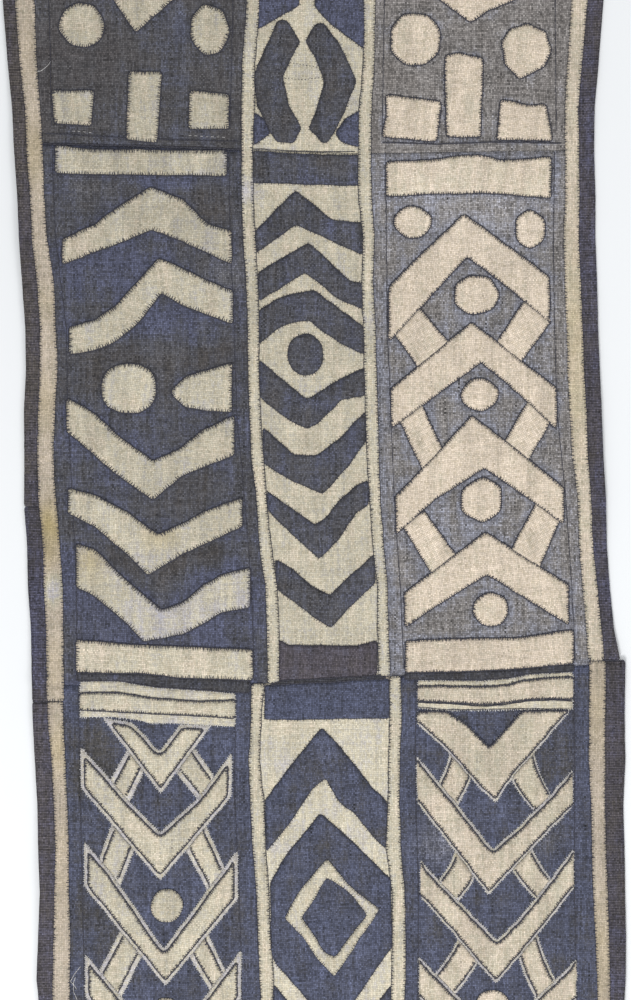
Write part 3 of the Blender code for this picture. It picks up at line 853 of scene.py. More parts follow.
AGED = (
    # x, y, reach across, reach along, how golden, shift along the row, shift of lightness
    # outer left strip, from its top down
    (-328, 518, 20, 50, 0.10, 0.00, -0.07),
    (-322, 400, 20, 45, 0.40, 0.00, 0.03),
    (-309, 225, 20, 25, 0.20, 0.00, 0.06),
    (-307, 110, 20, 40, 0.30, 0.00, 0.00),
    (-302, -36, 20, 44, 0.80, 0.00, -0.10),
    (-297, -104, 20, 24, 0.00, -0.95, 0.28),
    (-295, -190, 20, 40, 0.20, 0.00, -0.06),
    (-293, -290, 20, 40, 0.40, 0.00, 0.02),
    (-290, -420, 20, 70, 0.12, 0.00, 0.03),
    # inner left strip: one faded length
    (-75, 356, 14, 18, 0.00, -0.35, 0.02),
    # outer right strip
    (302, 172, 20, 140, 0.32, 0.00, -0.04),
    (325, -240, 20, 60, 0.28, 0.00, -0.02),
    (330, -520, 20, 80, 0.32, 0.00, -0.02),
    # left patches: a browned arm and a yellowed middle
    (-255, -66, 30, 30, 0.40, 0.10, -0.10),
    (-175, -44, 30, 16, 0.30, 0.00, 0.00),
)
STAINS = (
    # x, y, reach across, reach along, how worn or chalky
    (-268, 362, 20, 20, 0.16),
    (-243, 352, 16, 16, 0.12),
    (-100, 262, 30, 30, 0.25),
    (-165, 165, 30, 30, 0.10),
    (150, 340, 60, 60, 0.18),
    (230, 300, 50, 50, 0.15),
    (-250, -140, 40, 40, 0.04),
    (145, -395, 30, 30, 0.35),
    (262, -385, 26, 26, 0.20),
    (-170, -640, 40, 40, 0.15),
)
SPREAD = 1.4


def spots_at(x, y, spots):
    """What a table of soft spots adds up to at some places, a row for each value that its spots give."""
    found = np.zeros((len(spots[0]) - 4, len(x)))
    for middle_x, middle_y, across, along, *values in spots:
        share = soft_bump(np.hypot((x - middle_x) / across, (y - middle_y) / along), SPREAD)
        found += np.outer(values, share)
    return found


print(f"{len(BLOTS)} blots of dye, {len(AGED)} golden or faded places and {len(STAINS)} worn ones")

# %% Dye and grain for a sheet
DYED = {
    # slot: how far blots reach into it, its own place in the row, its lightness
    "natural_raffia": (0.25, 0.50, 0.50),
    "slate_raffia": (1.0, 0.50, 0.50),
    "brown_raffia": (1.0, 0.45, 0.50),
    "grey_raffia": (1.0, 0.50, 0.50),
    "indigo_raffia": (1.0, 0.50, 0.50),
    "plum_raffia": (0.6, 0.50, 0.50),
    "border_raffia": (1.0, 0.45, 0.50),
}
HUE_SPREADS = {"natural_raffia": 0.65}
HUE_STREAKS = (
    # how strong, squeezed how much across and along, size, and what is added to the seed
    (0.46, 1.0, 0.28, 13.0, 0),
    (0.30, 0.4, 1.0, 15.0, 3),
)
TONE_STREAKS = (
    (0.26, 1.0, 0.25, 12.0, 2),
    (0.12, 0.5, 1.0, 12.0, 4),
)
# painted shade where the stitches pull a sheet's edge down: how much darker it is there and how far that
# reaches
EDGE_PAINTED_SHADE = 0.07
EDGE_PAINTED_SHADE_REACH = 3.5
EDGE_WEAR = 0.4
PULL = 3.0
SHEETS_APART = (40.0, 25.0)


def streaks_at(x, y, streaks, seed):
    """Soft streaks at places, along the warp and along the weft, to both sides of zero."""
    return sum(
        strong * (wander(across * x, along * y, size, seed + own) - 0.5)
        for strong, across, along, size, own in streaks
    )


def dye_of(points, slot, seed, row=None, light=None, edge=None, shifts=(0.0, 0.0)):
    """The dye attribute of a sheet's points: place in the row, lightness with painted shade near edges and
    seams, wear and what is not golden.
    """
    x, y = points.T
    share, own_row, own_light = DYED[slot]
    row_shift, light_shift = spots_at(x, y, BLOTS)
    worn = spots_at(x, y, STAINS)[0]
    hues = streaks_at(x, y, HUE_STREAKS, seed) * HUE_SPREADS.get(slot, 1.0)
    tones = streaks_at(x, y, TONE_STREAKS, seed)
    golden = np.zeros_like(x)
    if slot == "natural_raffia":
        golden, aged_row, aged_light = spots_at(x, y, AGED)
        golden *= 0.7 + 0.6 * wander(x, 0.5 * y, 10.0, seed + 8)
        hues += aged_row
        tones += aged_light
    along_row = (own_row if row is None else row) + share * row_shift + hues + shifts[0]
    lightness = (own_light if light is None else light) + share * light_shift + tones + shifts[1]
    # painted shade near the sheet's own edge
    if edge is not None:
        lightness = lightness - EDGE_PAINTED_SHADE * np.exp(-edge / EDGE_PAINTED_SHADE_REACH)
        worn = worn * EDGE_WEAR
    worn = worn * (0.6 + 0.8 * wander(x, y, 8.0, seed + 7))
    return np.clip(np.column_stack([along_row, lightness, worn, 1.0 - golden]), 0.0, 1.0)


def grain_of(points, turn, seed):
    """The grain marks of a sheet's points: millimetres across its warp and along it."""
    x, y = points.T
    cos, sin = math.cos(math.radians(turn)), math.sin(math.radians(turn))
    pull_x = PULL * (wander(x, y, 70.0, seed + 31) - 0.5)
    pull_y = PULL * (wander(x, y, 60.0, seed + 37) - 0.5)
    across = cos * x + sin * y + pull_x + SHEETS_APART[0] * seed
    along = -sin * x + cos * y + pull_y + SHEETS_APART[1] * seed
    return np.column_stack([across, along, np.zeros_like(x)])


print("a panel's dye at one corner:", dye_of(np.array([[-240.0, -130.0]]), "slate_raffia", 1).round(2)[0])

# %% Make a sheet of cloth
FULLNESS = 0.45
FULLNESS_REACH = 4.0
GROUND_UNDER = 0.1
GROUND_THICK = 0.9
PATCH_UNDER = 1.15
PATCH_THICK = 0.8
SECOND_UNDER = 2.45


def set_points(mesh, name, kind, values):
    """Stores one value for each point of a mesh under a name that materials can read."""
    attribute = mesh.attributes.new(name, kind, "POINT")
    attribute.data.foreach_set("vector" if kind == "FLOAT_VECTOR" else "color", values.ravel())


def sheet_mesh(
    name, cuts, under, slot, seed, turn=0.0, spacing=4.0, fullness=FULLNESS, hem=None, sewn=None, **dye
):
    """A mesh for one or more cuts of cloth, each a list of loops, that lie on the same layer."""
    all_points, all_faces, all_high, all_edge = [], [], [], []
    first = 0
    for loops in cuts:
        points, faces = fill(loops, spacing)
        edge, _ = nearest_on(points, loops)
        high = under + fullness * (1.0 - np.exp(-edge / FULLNESS_REACH))
        if hem:
            high = high + hem(points)
        all_points.append(points)
        all_faces.append(faces + first)
        all_high.append(high)
        all_edge.append(edge)
        first += len(points)
    points, faces = np.vstack(all_points), np.vstack(all_faces)
    high, edge = np.concatenate(all_high), np.concatenate(all_edge)
    z = lie_of(*points.T) + high
    mesh = bpy.data.meshes.new(name)
    places = [to_frame(x, y, up) for (x, y), up in zip(points, z)]
    mesh.from_pydata(places, [], faces.tolist())
    mesh.shade_smooth()
    set_points(mesh, "weave", "FLOAT_VECTOR", grain_of(points, turn, seed))
    # painted shade, with a bluer dye, beside sewn edges and along seams of the ground
    shifts = sewn_painted_shade_and_dye(points, sewn) if sewn else (0.0, 0.0)
    dyes = dye_of(points, slot, seed, edge=edge if fullness else None, shifts=shifts, **dye)
    set_points(mesh, "dye", "FLOAT_COLOR", dyes)
    return mesh


def make_cloth(name, cuts, under, thick, slot, seed, rests_on=(), node=None, **how):
    """A piece of cloth from its cuts, finished and set in the frame."""
    mesh = sheet_mesh(name, cuts, under, slot, seed, **how)
    mesh.materials.append(finishes[slot])
    piece = add_object(name, mesh)
    body = piece.modifiers.new("thickness of the cloth", "SOLIDIFY")
    body.thickness = thick * MM
    body.offset = 1.0
    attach(piece, "root")
    if node:
        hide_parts(node)
    return piece


print("one patch stands", PATCH_UNDER + PATCH_THICK + FULLNESS, "mm over the lie of the cloth")

# %% [markdown]
# ## All the cutting lines
#
# Everything is cut before anything is laid, because the colour of the ground depends on what lies on it: a
# darker painted shade, with a bluer dye, follows every sewn edge. The large pieces take their
# lines from the solids, each with its own unevenness.

# %% Cut what the solids give
slot_of = {part["node"]: part["material_slot"] for part in frame["record"]["subparts"]}
GROUNDS = [node for node in slot_of if node.startswith(("panel_", "border_"))]
STRIPS = [node for node in slot_of if "_strip_" in node]
LOW_VALLEYS = [node for node in slot_of if node.startswith("valley_low_")]
PATCHES = [node for node in slot_of if node not in GROUNDS + STRIPS + LOW_VALLEYS]
UNEVEN = {"ground": 0.12, "strip": 0.45, "patch": 0.55, "small": 0.5, "double": 0.4, "tuck": 0.3}

ground_loops = {node: cut_loops(node) for node in GROUNDS}
patch_cuts = {}
for seed, node in enumerate(STRIPS, 200):
    patch_cuts[node] = [cut_by_hand(loop, UNEVEN["strip"], seed) for loop in cut_loops(node)]
for seed, node in enumerate(PATCHES, 300):
    patch_cuts[node] = [cut_by_hand(loop, UNEVEN["patch"], seed) for loop in cut_loops(node)]


def ground_below(loop):
    """The ground piece that lies under the middle of a cut."""
    middle = loop.mean(axis=0, keepdims=True)
    for node, loops in ground_loops.items():
        if inside(middle, loops)[0]:
            return node
    return "panel_centre_middle"


print(f"{len(GROUNDS)} ground pieces, {len(STRIPS)} strips,", len(PATCHES + LOW_VALLEYS), "large patches")

# %% [markdown]
# ## Small patches
#
# The spaces between the large patches are filled with rounds, squares, small upright pieces and corner
# pieces. A round is never a circle: it is cut by eye with a few straight strokes, so it is drawn here from
# an uneven polygon. The others are given by their corners. Where a piece should butt against a chevron it
# is drawn long and trimmed along the chevron's edge, as a maker does.

# %% Tables of small patches
SMALL_ROUNDS = {
    # group: x, y, width, height, how many corners, turn of the first corner in degrees
    "left_top": ((-265, 546, 51, 50, 8, 10), (-118, 539.5, 46, 57, 7, 100)),
    "right_top": ((118, 529, 56, 60, 8, 20),),
    "right_middle": (
        (115, 319, 43, 36, 8, 25),
        (250, 311, 36, 44, 6, 90),
        (188, 235.5, 51, 45, 7, 0),
        (192, 121, 44, 37, 7, 15),
        (194.5, 0, 49, 52, 6, 30),
        (205, -125.5, 41, 40, 7, 40),
    ),
    "left_low": ((-167.5, -466, 36, 38, 9, 0), (-169, -590, 34, 36, 8, 20)),
    "right_low": ((207, -582, 38, 38, 8, 0),),
}
SMALL_CUTS = {
    # group: the corners of each piece
    "left_top": (
        (
            (-203, 538), (-160, 575), (-121, 608), (-121, 630), (-198, 592), (-256, 630), (-254, 608),
            (-229, 575),
        ),
        ((-211, 492), (-173.5, 491.5), (-179, 411), (-214, 414)),
        ((-299.5, 470.5), (-251.5, 470), (-254, 430), (-296, 433)),
        ((-141, 470.5), (-96.5, 466), (-96.5, 426.5), (-142, 426.5)),
    ),
    "centre_top": (
        ((-62, 541), (-37, 556), (-16, 568), (-16, 575), (-40, 600), (-62, 618)),
        ((3, 575), (3, 567), (22, 546), (59.5, 519), (59, 620)),
        ((-67, 445), (-55.5, 437), (-49, 421.5), (-67, 408)),
        ((53.5, 447.5), (37.5, 437), (26, 421.5), (33.5, 412), (53.5, 405)),
    ),
    "right_top": (
        (
            (182, 549), (200, 562), (233, 575), (275, 604), (275, 630), (190, 600), (98, 630), (98, 606),
            (146, 575),
        ),
        (
            (217.5, 527), (228, 541), (247, 547), (267, 538), (274.5, 518), (266, 498), (237.5, 483.5),
            (222, 500),
        ),
        ((152, 510), (166, 513.5), (195.5, 507), (193, 417), (154, 417)),
        ((84.5, 465.5), (147.5, 457), (142, 412), (79.5, 417), (85, 441)),
        ((216.5, 460), (250, 452), (267.5, 455), (275.5, 413), (212, 414)),
    ),
}
SMALL_SLOTS = {"centre_top": "slate_raffia"}
BRIDGES = (
    # corners from one end to the other: the first two meet the chevron above, the last two the one below
    ((98, 187), (125, 217), (157, 181), (121, 153)),
    ((240, 224), (270, 200), (243, 164), (217, 189)),
    ((101, 89), (126, 107), (148, 61), (123, 43)),
    ((244, 107), (270, 85), (251, 51), (224, 73)),
    ((109, -38), (132, -19), (163, -60), (135, -81.5)),
    ((255, -8), (281, -29), (260.5, -78.5), (229, -55.5)),
)
OVERLONG = 8.0


def small_round(x, y, wide, high, corners, turn, seed):
    """A round cut with a few strokes: a polygon with uneven corners, a little rounded off."""
    chosen = random.Random(seed)
    points = []
    for corner in range(corners):
        angle = math.radians(turn) + math.tau * (corner + chosen.uniform(-0.10, 0.10)) / corners
        reach = chosen.uniform(1.02, 1.10)
        points.append((x + wide / 2 * reach * math.cos(angle), y + high / 2 * reach * math.sin(angle)))
    loop = walk(np.array(points))
    for _ in range(4):
        loop = blunted(loop)
    return loop


def run_left(corners):
    """Corners in the order that keeps the cloth to the left."""
    loop = np.array(corners, float)
    return loop if area_of(loop) > 0 else loop[::-1]


def lengthened(corners, by):
    """Four corners of a short bar with both its ends moved outwards."""
    a, b, c, d = (np.array(corner, float) for corner in corners)
    out = (a + b - c - d) / np.hypot(*(a + b - c - d)) * by
    return [a + out, b + out, c - out, d - out]


PEAKS_RIGHT = [patch_cuts[f"peak_right_{number}"][0] for number in (1, 2, 3, 4)]
small_loops = {}
for seed, group in enumerate(sorted(set(SMALL_ROUNDS) | set(SMALL_CUTS)), 400):
    loops = [small_round(*row, seed * 10 + index) for index, row in enumerate(SMALL_ROUNDS.get(group, ()))]
    loops += [walk(run_left(corners)) for corners in SMALL_CUTS.get(group, ())]
    small_loops[group] = [
        cut_by_hand(loop, UNEVEN["small"], seed * 10 + index) for index, loop in enumerate(loops)
    ]
bridge_loops = []
for seed, corners in enumerate(BRIDGES, 480):
    bridge = cut_by_hand(run_left(lengthened(corners, OVERLONG)), UNEVEN["small"], seed)
    bridge_loops.append(walk(beside(bridge, PEAKS_RIGHT)))
print(sum(len(loops) for loops in small_loops.values()) + len(bridge_loops), "small patches are cut")

# %% [markdown]
# ## Double patches of the low side panels
#
# In the lower length the pale pattern of the side panels is worked twice. A first patch is sewn to the
# blue ground with pale thread, and a second, cut a few millimetres smaller, is sewn on top of it with dark
# thread. Big V shapes stack down the panel, and short slanting straps run from each to the next. Those of
# the right panel bow a little towards its middle. A group of long bars closes the pattern at the seam.

# %% Cut the double patches
RIMS = {
    # side: how wide the first patch shows at the upper edge, at the lower edge and at the ends
    "left": (5.0, 4.5, 5.0),
    "right": (4.2, 3.4, 0.3),
}
SMALL_VALLEYS = {
    "left": ((-241, -250), (-206, -256), (-176, -289.5), (-152, -258), (-116, -258), (-174.5, -337.5)),
    "right": (
        (120, -243), (154, -243), (175, -256), (203, -285), (241, -242), (296, -242), (262, -282),
        (233, -315), (211, -347), (196, -335), (177, -314), (150, -283), (120, -257),
    ),
}
STRAPS = {
    # side: corners, the first two against the V above and the last two against the V below
    "left": (
        ((-214, -290), (-194, -312), (-208, -343), (-230, -317)),
        ((-156, -314), (-133, -288), (-113, -318), (-133, -342)),
        ((-229, -367), (-203, -398), (-219, -437), (-243, -408)),
        ((-146, -403), (-121, -376), (-103, -420), (-121, -446)),
        ((-222, -498), (-198, -527), (-219, -570), (-244, -538)),
        ((-141, -525), (-119, -500), (-98, -545), (-112, -572)),
    ),
    "right": (
        ((158, -290), (182, -312), (169, -347), (145, -320)),
        ((228, -318), (254, -287), (271, -332), (250, -349)),
        ((163.5, -405), (185, -431), (171.5, -456), (146.5, -431)),
        ((229, -421.5), (254, -400.5), (275, -435), (252, -452)),
        ((167.5, -504), (189, -529), (160, -572), (139, -544)),
        ((238, -523), (260, -504), (281, -550), (257.5, -575)),
    ),
}
# how wide the first strap shows at its long edges, how far straps bend towards the middle line of their
# panel, where that line is, and how uneven the V shapes are cut
STRAP_RIMS = {"left": 6.6, "right": 3.9}
STRAP_BENDS = {"left": 0.0, "right": 2.6}
LOW_MIDDLES = {"left": -172.0, "right": 207.0}
UNEVEN_RIMS = {"left": 0.5, "right": 0.9}
# the upper rim of the small right V, which its face almost covers
SMALL_RIM = 0.6
BARS = {
    # side: the upper edge, the upper line, the lower line and the lower edge, from left to right
    "left": (
        ((-267, -208), (-225, -208), (-180, -215), (-89, -222)),
        ((-267, -221.6), (-222, -221.4), (-182, -228), (-129, -231.5), (-89, -230)),
        ((-267, -240.7), (-204, -243.5), (-129, -247.4), (-89, -250.2)),
        ((-267, -249.5), (-232, -249), (-204, -252), (-188, -256), (-151, -256.5), (-89, -260.5)),
    ),
    "right": (
        ((121, -206.5), (194, -207.2), (227, -204.3), (247, -199.9), (299, -197)),
        ((121, -213.8), (203, -214.6), (225, -213), (241, -208), (266, -205), (299, -203.6)),
        ((121, -230), (156, -231.4), (194, -234.4), (218, -232.9), (247, -228.5), (277, -227), (299, -228.5)),
        ((121, -239), (153, -241.6), (194, -241.6), (240, -240.6), (299, -240.8)),
    ),
}
END_EDGE = 0.93
rim_loops = {}
face_loops = {}


def inset(loop, upper, lower, ends):
    """A cutting line moved towards the cloth, by amounts of its own at upper, lower and end edges."""
    fine = walk(loop, 1.5)
    inward = inward_of(fine)
    by = np.where(inward[:, 1] < 0, upper, lower)
    by = np.where(np.abs(inward[:, 0]) > END_EDGE, ends, by)
    moved = fine + inward * by[:, None]
    away, _ = nearest_on(moved, [fine])
    kept = moved[(away > 0.85 * by - 0.2) & inside(moved, [fine])]
    return blunted(walk(kept))


def bent(corners, by, towards):
    """A short bar with four corners, bent in its middle towards a place across."""
    a, b, c, d = corners
    loop = walk(run_left(corners))
    start, run = (a + b) / 2, (c + d - a - b) / 2
    share = np.clip((loop - start) @ run / (run @ run), 0.0, 1.0)
    push = by * np.array([math.copysign(1.0, towards - start[0]), -0.3])
    return loop + np.outer(np.sin(math.pi * share), push)


def between(upper, lower):
    """A loop between two lines across, with the cloth to its left."""
    return run_left(list(upper) + list(lower)[::-1])


for seed, node in enumerate(LOW_VALLEYS, 500):
    side = "left" if "left" in node else "right"
    rim_loops[node] = cut_by_hand(cut_loops(node)[0], UNEVEN_RIMS[side], seed)
    face_loops[node] = inset(rim_loops[node], *RIMS[side])
for seed, side in enumerate(("left", "right"), 560):
    name = f"small_valley_low_{side}"
    bars = f"bars_low_{side}"
    upper, first_line, last_line, lower = BARS[side]
    rim_loops[bars] = cut_by_hand(between(upper, lower), UNEVEN["double"], seed)
    face_loops[bars] = cut_by_hand(between(first_line, last_line), UNEVEN["double"], seed + 3)
    small_valley = cut_by_hand(run_left(SMALL_VALLEYS[side]), UNEVEN_RIMS[side], seed)
    rim_loops[name] = walk(beside(small_valley, [rim_loops[bars]]))
    wide_upper, wide_lower, wide_ends = RIMS[side]
    wide_upper = SMALL_RIM if side == "right" else wide_upper
    face_loops[name] = inset(rim_loops[name], wide_upper, wide_lower, wide_ends)
    valleys = [rim_loops[other] for other in rim_loops if "valley" in other and side in other]
    for index, corners in enumerate(STRAPS[side], 1):
        a, b, c, d = lengthened(corners, OVERLONG)
        across = STRAP_RIMS[side] / np.hypot(*(b - a))
        inner = [a + (b - a) * across, b - (b - a) * across, c + (d - c) * across, d - (d - c) * across]
        strap = f"strap_low_{side}_{index}"
        for kept, shape, gap in ((rim_loops, (a, b, c, d), 0.4), (face_loops, inner, 0.6)):
            loop = bent(shape, STRAP_BENDS[side], LOW_MIDDLES[side])
            loop = cut_by_hand(loop, UNEVEN["double"], seed + 20 * index)
            kept[strap] = walk(beside(loop, valleys, gap))
print(f"{len(rim_loops)} double patches are cut")

# %% [markdown]
# ## Ground cloth and borders
#
# The ground is fourteen separate sheets, butted edge to edge. Only the outer edges are turned in and
# hemmed, which makes them twice as thick for about nine millimetres, so those edges rise gently. The
# pieces take their outlines from the solids and their finishes from the record.

# %% Painted shade and dye that follow the sewing
SEWN_EDGE_PAINTED_SHADE = {
    # slot: reach, shift along the dye's row (a bluer dye) and shift of lightness (painted shade) beside a
    # sewn edge
    "slate_raffia": (4.0, 0.35, -0.24),
    "brown_raffia": (4.0, 0.25, -0.20),
    "grey_raffia": (7.0, 0.55, -0.12),
    "indigo_raffia": (4.5, 0.10, -0.14),
    "natural_raffia": (3.0, 0.00, -0.04),
    "border_raffia": (4.0, 0.00, -0.06),
}
SEAM_PAINTED_SHADE = (
    # painted shade along the folds of seams: from x, y to x, y, half width, shift along the row, shift of
    # lightness
    (-310, 409, -80, 403, 5.0, 0.3, -0.36),
    (-306, 421, -84, 412, 4.0, 0.2, -0.22),
    (78, 411, 288, 411, 3.0, 0.3, -0.16),
    (-286, -212, -70, -212, 9.0, 0.4, -0.24),
    (90, -204, 318, -190, 8.0, 0.4, -0.24),
)
SEAM_PAINTED_SHADE_BLUR = 1.6
over_ground = {node: [] for node in GROUNDS}
laid_loops = [loops[0] for loops in patch_cuts.values()] + sum(small_loops.values(), bridge_loops)
laid_loops += rim_loops.values()
for loop in laid_loops:
    over_ground[ground_below(loop)].append(loop)


def sewn_painted_shade_and_dye(points, node):
    """The shifts of row and lightness that sewn edges and seams give to the ground at some points: painted
    shade beside sewn edges and along the folds of seams, with a bluer dye.
    """
    reach, row_shift, light_shift = SEWN_EDGE_PAINTED_SHADE[slot_of[node]]
    share = np.zeros(len(points))
    # painted shade, with a bluer dye, beside the edges of the pieces sewn on this ground
    if over_ground[node]:
        away, _ = nearest_on(points, over_ground[node])
        share = np.exp(-away / reach) * (0.6 + 0.8 * wander(*points.T, 14.0, 71))
    along_row, light = row_shift * share, light_shift * share
    # painted shade, with a bluer dye, along the folds of the seams
    for ax, ay, bx, by, width, seam_row, seam_painted_shade in SEAM_PAINTED_SHADE:
        near = soft_bump(off_line(*points.T, ax, ay, bx, by), SEAM_PAINTED_SHADE_BLUR * width)
        along_row = along_row + seam_row * near
        light = light + seam_painted_shade * near
    return along_row, light


print("the most crowded panel carries", max(len(loops) for loops in over_ground.values()), "pieces")

# %% Lay the ground
HEM_WIDE = 9.0
HEM_RISE = 0.8
HEM_SLOPE = 2.5
EDGE_LEVEL = 20.0
GROUND_SPACING = 5.3
GROUND_DYES = {
    # node: its place in the dye's row, its lightness
    "panel_centre_low": (0.45, 0.57),
    "panel_centre_middle": (0.54, 0.44),
    "panel_right_top": (0.25, 0.54),
    "border_left_middle": (0.55, 0.42),
    "border_left_low": (0.52, 0.64),
    "border_right_low": (0.45, 0.40),
}
cloth_low, cloth_high = (np.array(to_chart(corner)) for corner in cad_box)


def outer_edge(side):
    """The long outer edge of the cloth on a side, as (y, x) points taken from the border pieces."""
    names = [node for node in GROUNDS if node.startswith("border_" + side)]
    best = {}
    for x, y in np.vstack([walk(ground_loops[node][0], EDGE_LEVEL / 2) for node in names]):
        level = round(y / EDGE_LEVEL)
        further = min if side == "left" else max
        best[level] = further(x, best.get(level, x))
    return [(level * EDGE_LEVEL, best[level]) for level in sorted(best)]


OUTER_EDGES = {side: outer_edge(side) for side in ("left", "right")}


def hem_rise(points):
    """How far the turned hem lifts the cloth near its two long edges and its two ends."""
    x, y = points.T
    from_left = x - read_across(OUTER_EDGES["left"], y)
    from_right = read_across(OUTER_EDGES["right"], y) - x
    from_ends = np.minimum(y - cloth_low[1], cloth_high[1] - y)
    nearest = np.minimum(np.minimum(from_left, from_right), from_ends)
    return HEM_RISE * np.clip((HEM_WIDE + HEM_SLOPE - nearest) / HEM_SLOPE, 0.0, 1.0)


for seed, node in enumerate(GROUNDS, 100):
    loops = [cut_by_hand(loop, UNEVEN["ground"], seed) for loop in ground_loops[node]]
    row, light = GROUND_DYES.get(node, DYED[slot_of[node]][1:])
    make_cloth(
        "cloth_" + node, [loops], GROUND_UNDER, GROUND_THICK, slot_of[node], seed, node=node,
        spacing=GROUND_SPACING, fullness=0.0, hem=hem_rise, row=row, light=light, sewn=node,
    )
print(f"{len(GROUNDS)} sheets of ground cloth are laid")

# %% [markdown]
# ## Strips, patches and tucks
#
# Every cut piece is now laid on the ground as a sheet of its own. The strips cover the long joints. Along
# the seam between the two lengths the ground is caught up in a rolled tuck, dyed very dark as painted shade
# of the fold, so it shows as a dark band.

# %% Lay the strips and the large patches
STRIP_DYES = {
    # strip, or one length of it: its place in the dye's row, its lightness
    "outer_left": (1.05, 0.18),
    "inner_left": (0.55, 0.50),
    "inner_right": (0.55, 0.52),
    "outer_right": (0.80, 0.44),
    "outer_right_strip_low": (1.20, 0.13),
}
PATCH_DYES = {
    # node: its place in the dye's row, its lightness
    "bar_left_upper": (0.50, 0.36),
    "peak_left_1": (0.52, 0.30),
    "peak_left_2": (0.52, 0.43),
    "round_left": (0.55, 0.49),
    "leaf_left": (0.53, 0.44),
    "valley_left_1": (0.52, 0.36),
    "valley_left_2": (0.54, 0.41),
    "valley_left_3": (0.20, 0.41),
    "bar_left_lower": (0.60, 0.52),
    "peak_right_1": (1.06, 0.53),
    "peak_right_2": (1.02, 0.50),
    "peak_right_3": (1.00, 0.51),
    "peak_right_4": (0.98, 0.51),
    "bar_right_upper": (0.84, 0.58),
    "bar_right_lower": (0.98, 0.43),
    "hook_centre_left": (0.42, 0.50),
    "hook_centre_right": (0.40, 0.50),
    "bar_centre_upper": (0.62, 0.52),
    "bar_centre_lower": (0.80, 0.44),
    "lozenge_centre": (0.66, 0.50),
}


def turn_of(seed):
    """A patch is rarely laid quite on the grain: a few degrees either way."""
    return random.Random(seed).uniform(-6.0, 6.0)


for seed, node in enumerate(STRIPS, 200):
    row, light = STRIP_DYES.get(node) or STRIP_DYES[node.split("_strip_")[0]]
    make_cloth(
        "cloth_" + node, [patch_cuts[node]], PATCH_UNDER, PATCH_THICK, slot_of[node], seed, node=node,
        rests_on=[ground_below(patch_cuts[node][0])], fullness=0.3, row=row, light=light,
    )
for seed, node in enumerate(PATCHES, 300):
    second = node == "diamond_ring"
    row, light = PATCH_DYES.get(node, (0.5, 0.50))
    make_cloth(
        "cloth_" + node, [patch_cuts[node]], SECOND_UNDER if second else PATCH_UNDER, PATCH_THICK,
        slot_of[node], seed, node=node, turn=turn_of(seed), row=row, light=light,
        rests_on=["lozenge_centre" if second else ground_below(patch_cuts[node][0])],
    )
print(f"{len(STRIPS)} strips and {len(PATCHES)} large patches are laid")

# %% Lay the small patches
SMALL_SPACING = 3.5
LEFT_DYE = (0.55, 0.35)
RIGHT_DYE = (1.00, 0.54)
BRIDGE_DYE = (1.00, 0.52)
BRIDGE_TURN = 30.0
for seed, group in enumerate(small_loops, 400):
    loops = small_loops[group]
    row, light = LEFT_DYE if "left" in group else RIGHT_DYE
    make_cloth(
        "small_patches_" + group, [[loop] for loop in loops], PATCH_UNDER, PATCH_THICK,
        SMALL_SLOTS.get(group, "natural_raffia"), seed, spacing=SMALL_SPACING, turn=turn_of(seed),
        row=row, light=light, rests_on=sorted({ground_below(loop) for loop in loops}),
    )
row, light = BRIDGE_DYE
make_cloth(
    "bridges_right_middle", [[loop] for loop in bridge_loops], PATCH_UNDER, PATCH_THICK, "natural_raffia",
    490, rests_on=["panel_right_middle"], spacing=SMALL_SPACING, turn=BRIDGE_TURN, row=row, light=light,
)
print("the small patches are laid")

# %% Lay the double patches
RIM_THICK = 0.6
FACE_UNDER = 1.95
FACE_THICK = 0.7
FACE_ROWS = {"left": 0.56, "right": 0.78}
FACE_LIGHTS = {"left": 0.46, "right": 0.38}
RIM_ROWS = {"bars_low_left": 0.42, "bars_low_right": 0.50}
RIM_ROW = 0.22
RIM_LIGHT = 0.52
for seed, name in enumerate(rim_loops, 600):
    side = "left" if "left" in name else "right"
    node = name if name in slot_of else None
    rim = make_cloth(
        "rim_" + name, [[rim_loops[name]]], PATCH_UNDER, RIM_THICK, "natural_raffia", seed, node=node,
        rests_on=[f"panel_{side}_low"], fullness=0.1, turn=turn_of(seed), light=RIM_LIGHT,
        row=RIM_ROWS.get(name, RIM_ROW),
    )
    make_cloth(
        "face_" + name, [[face_loops[name]]], FACE_UNDER, FACE_THICK, "natural_raffia", seed + 50,
        rests_on=[rim.name], spacing=SMALL_SPACING, turn=turn_of(seed + 50), light=FACE_LIGHTS[side],
        row=FACE_ROWS[side],
    )
print(f"{len(rim_loops)} double patches are laid")

# %% Roll the tucks at the long seam
TUCKS = {
    "left": (
        ((-271, -198.5), (-200, -199.5), (-150, -204.5), (-72, -207.5)),
        ((-271, -207.5), (-222, -207.5), (-180, -214.5), (-72, -221.5)),
    ),
    "centre": (
        ((-48, -208.2), (-28, -207.4), (49, -203.4), (84, -201.2)),
        ((-48, -212.6), (84, -205.4)),
    ),
    "right": (
        ((106, -198.4), (158, -197.6), (196, -196.6), (235, -194.6), (300, -188)),
        ((106, -205.8), (194, -206.8), (227, -203.8), (247, -199.5), (300, -196.6)),
    ),
}
tuck_neighbours = [
    loops[0] for node, loops in patch_cuts.items() if node.startswith("bar_") or "_strip_" in node
]
tuck_neighbours += [rim_loops["bars_low_left"], rim_loops["bars_low_right"]]
tuck_loops = []
for seed, (side, (upper, lower)) in enumerate(TUCKS.items(), 700):
    loop = cut_by_hand(between(upper, lower), UNEVEN["tuck"], seed)
    loop = walk(beside(loop, tuck_neighbours, 0.4), 2.0)
    # the tuck's low lightness of 0.10 is painted shade of the fold along the seam
    make_cloth(
        "seam_tuck_" + side, [[loop]], PATCH_UNDER, PATCH_THICK, "slate_raffia", seed,
        rests_on=[f"panel_{side}_low", f"panel_{side}_middle"], spacing=2.0, fullness=1.2, light=0.10,
        row=0.45,
    )
    tuck_loops.append(loop)
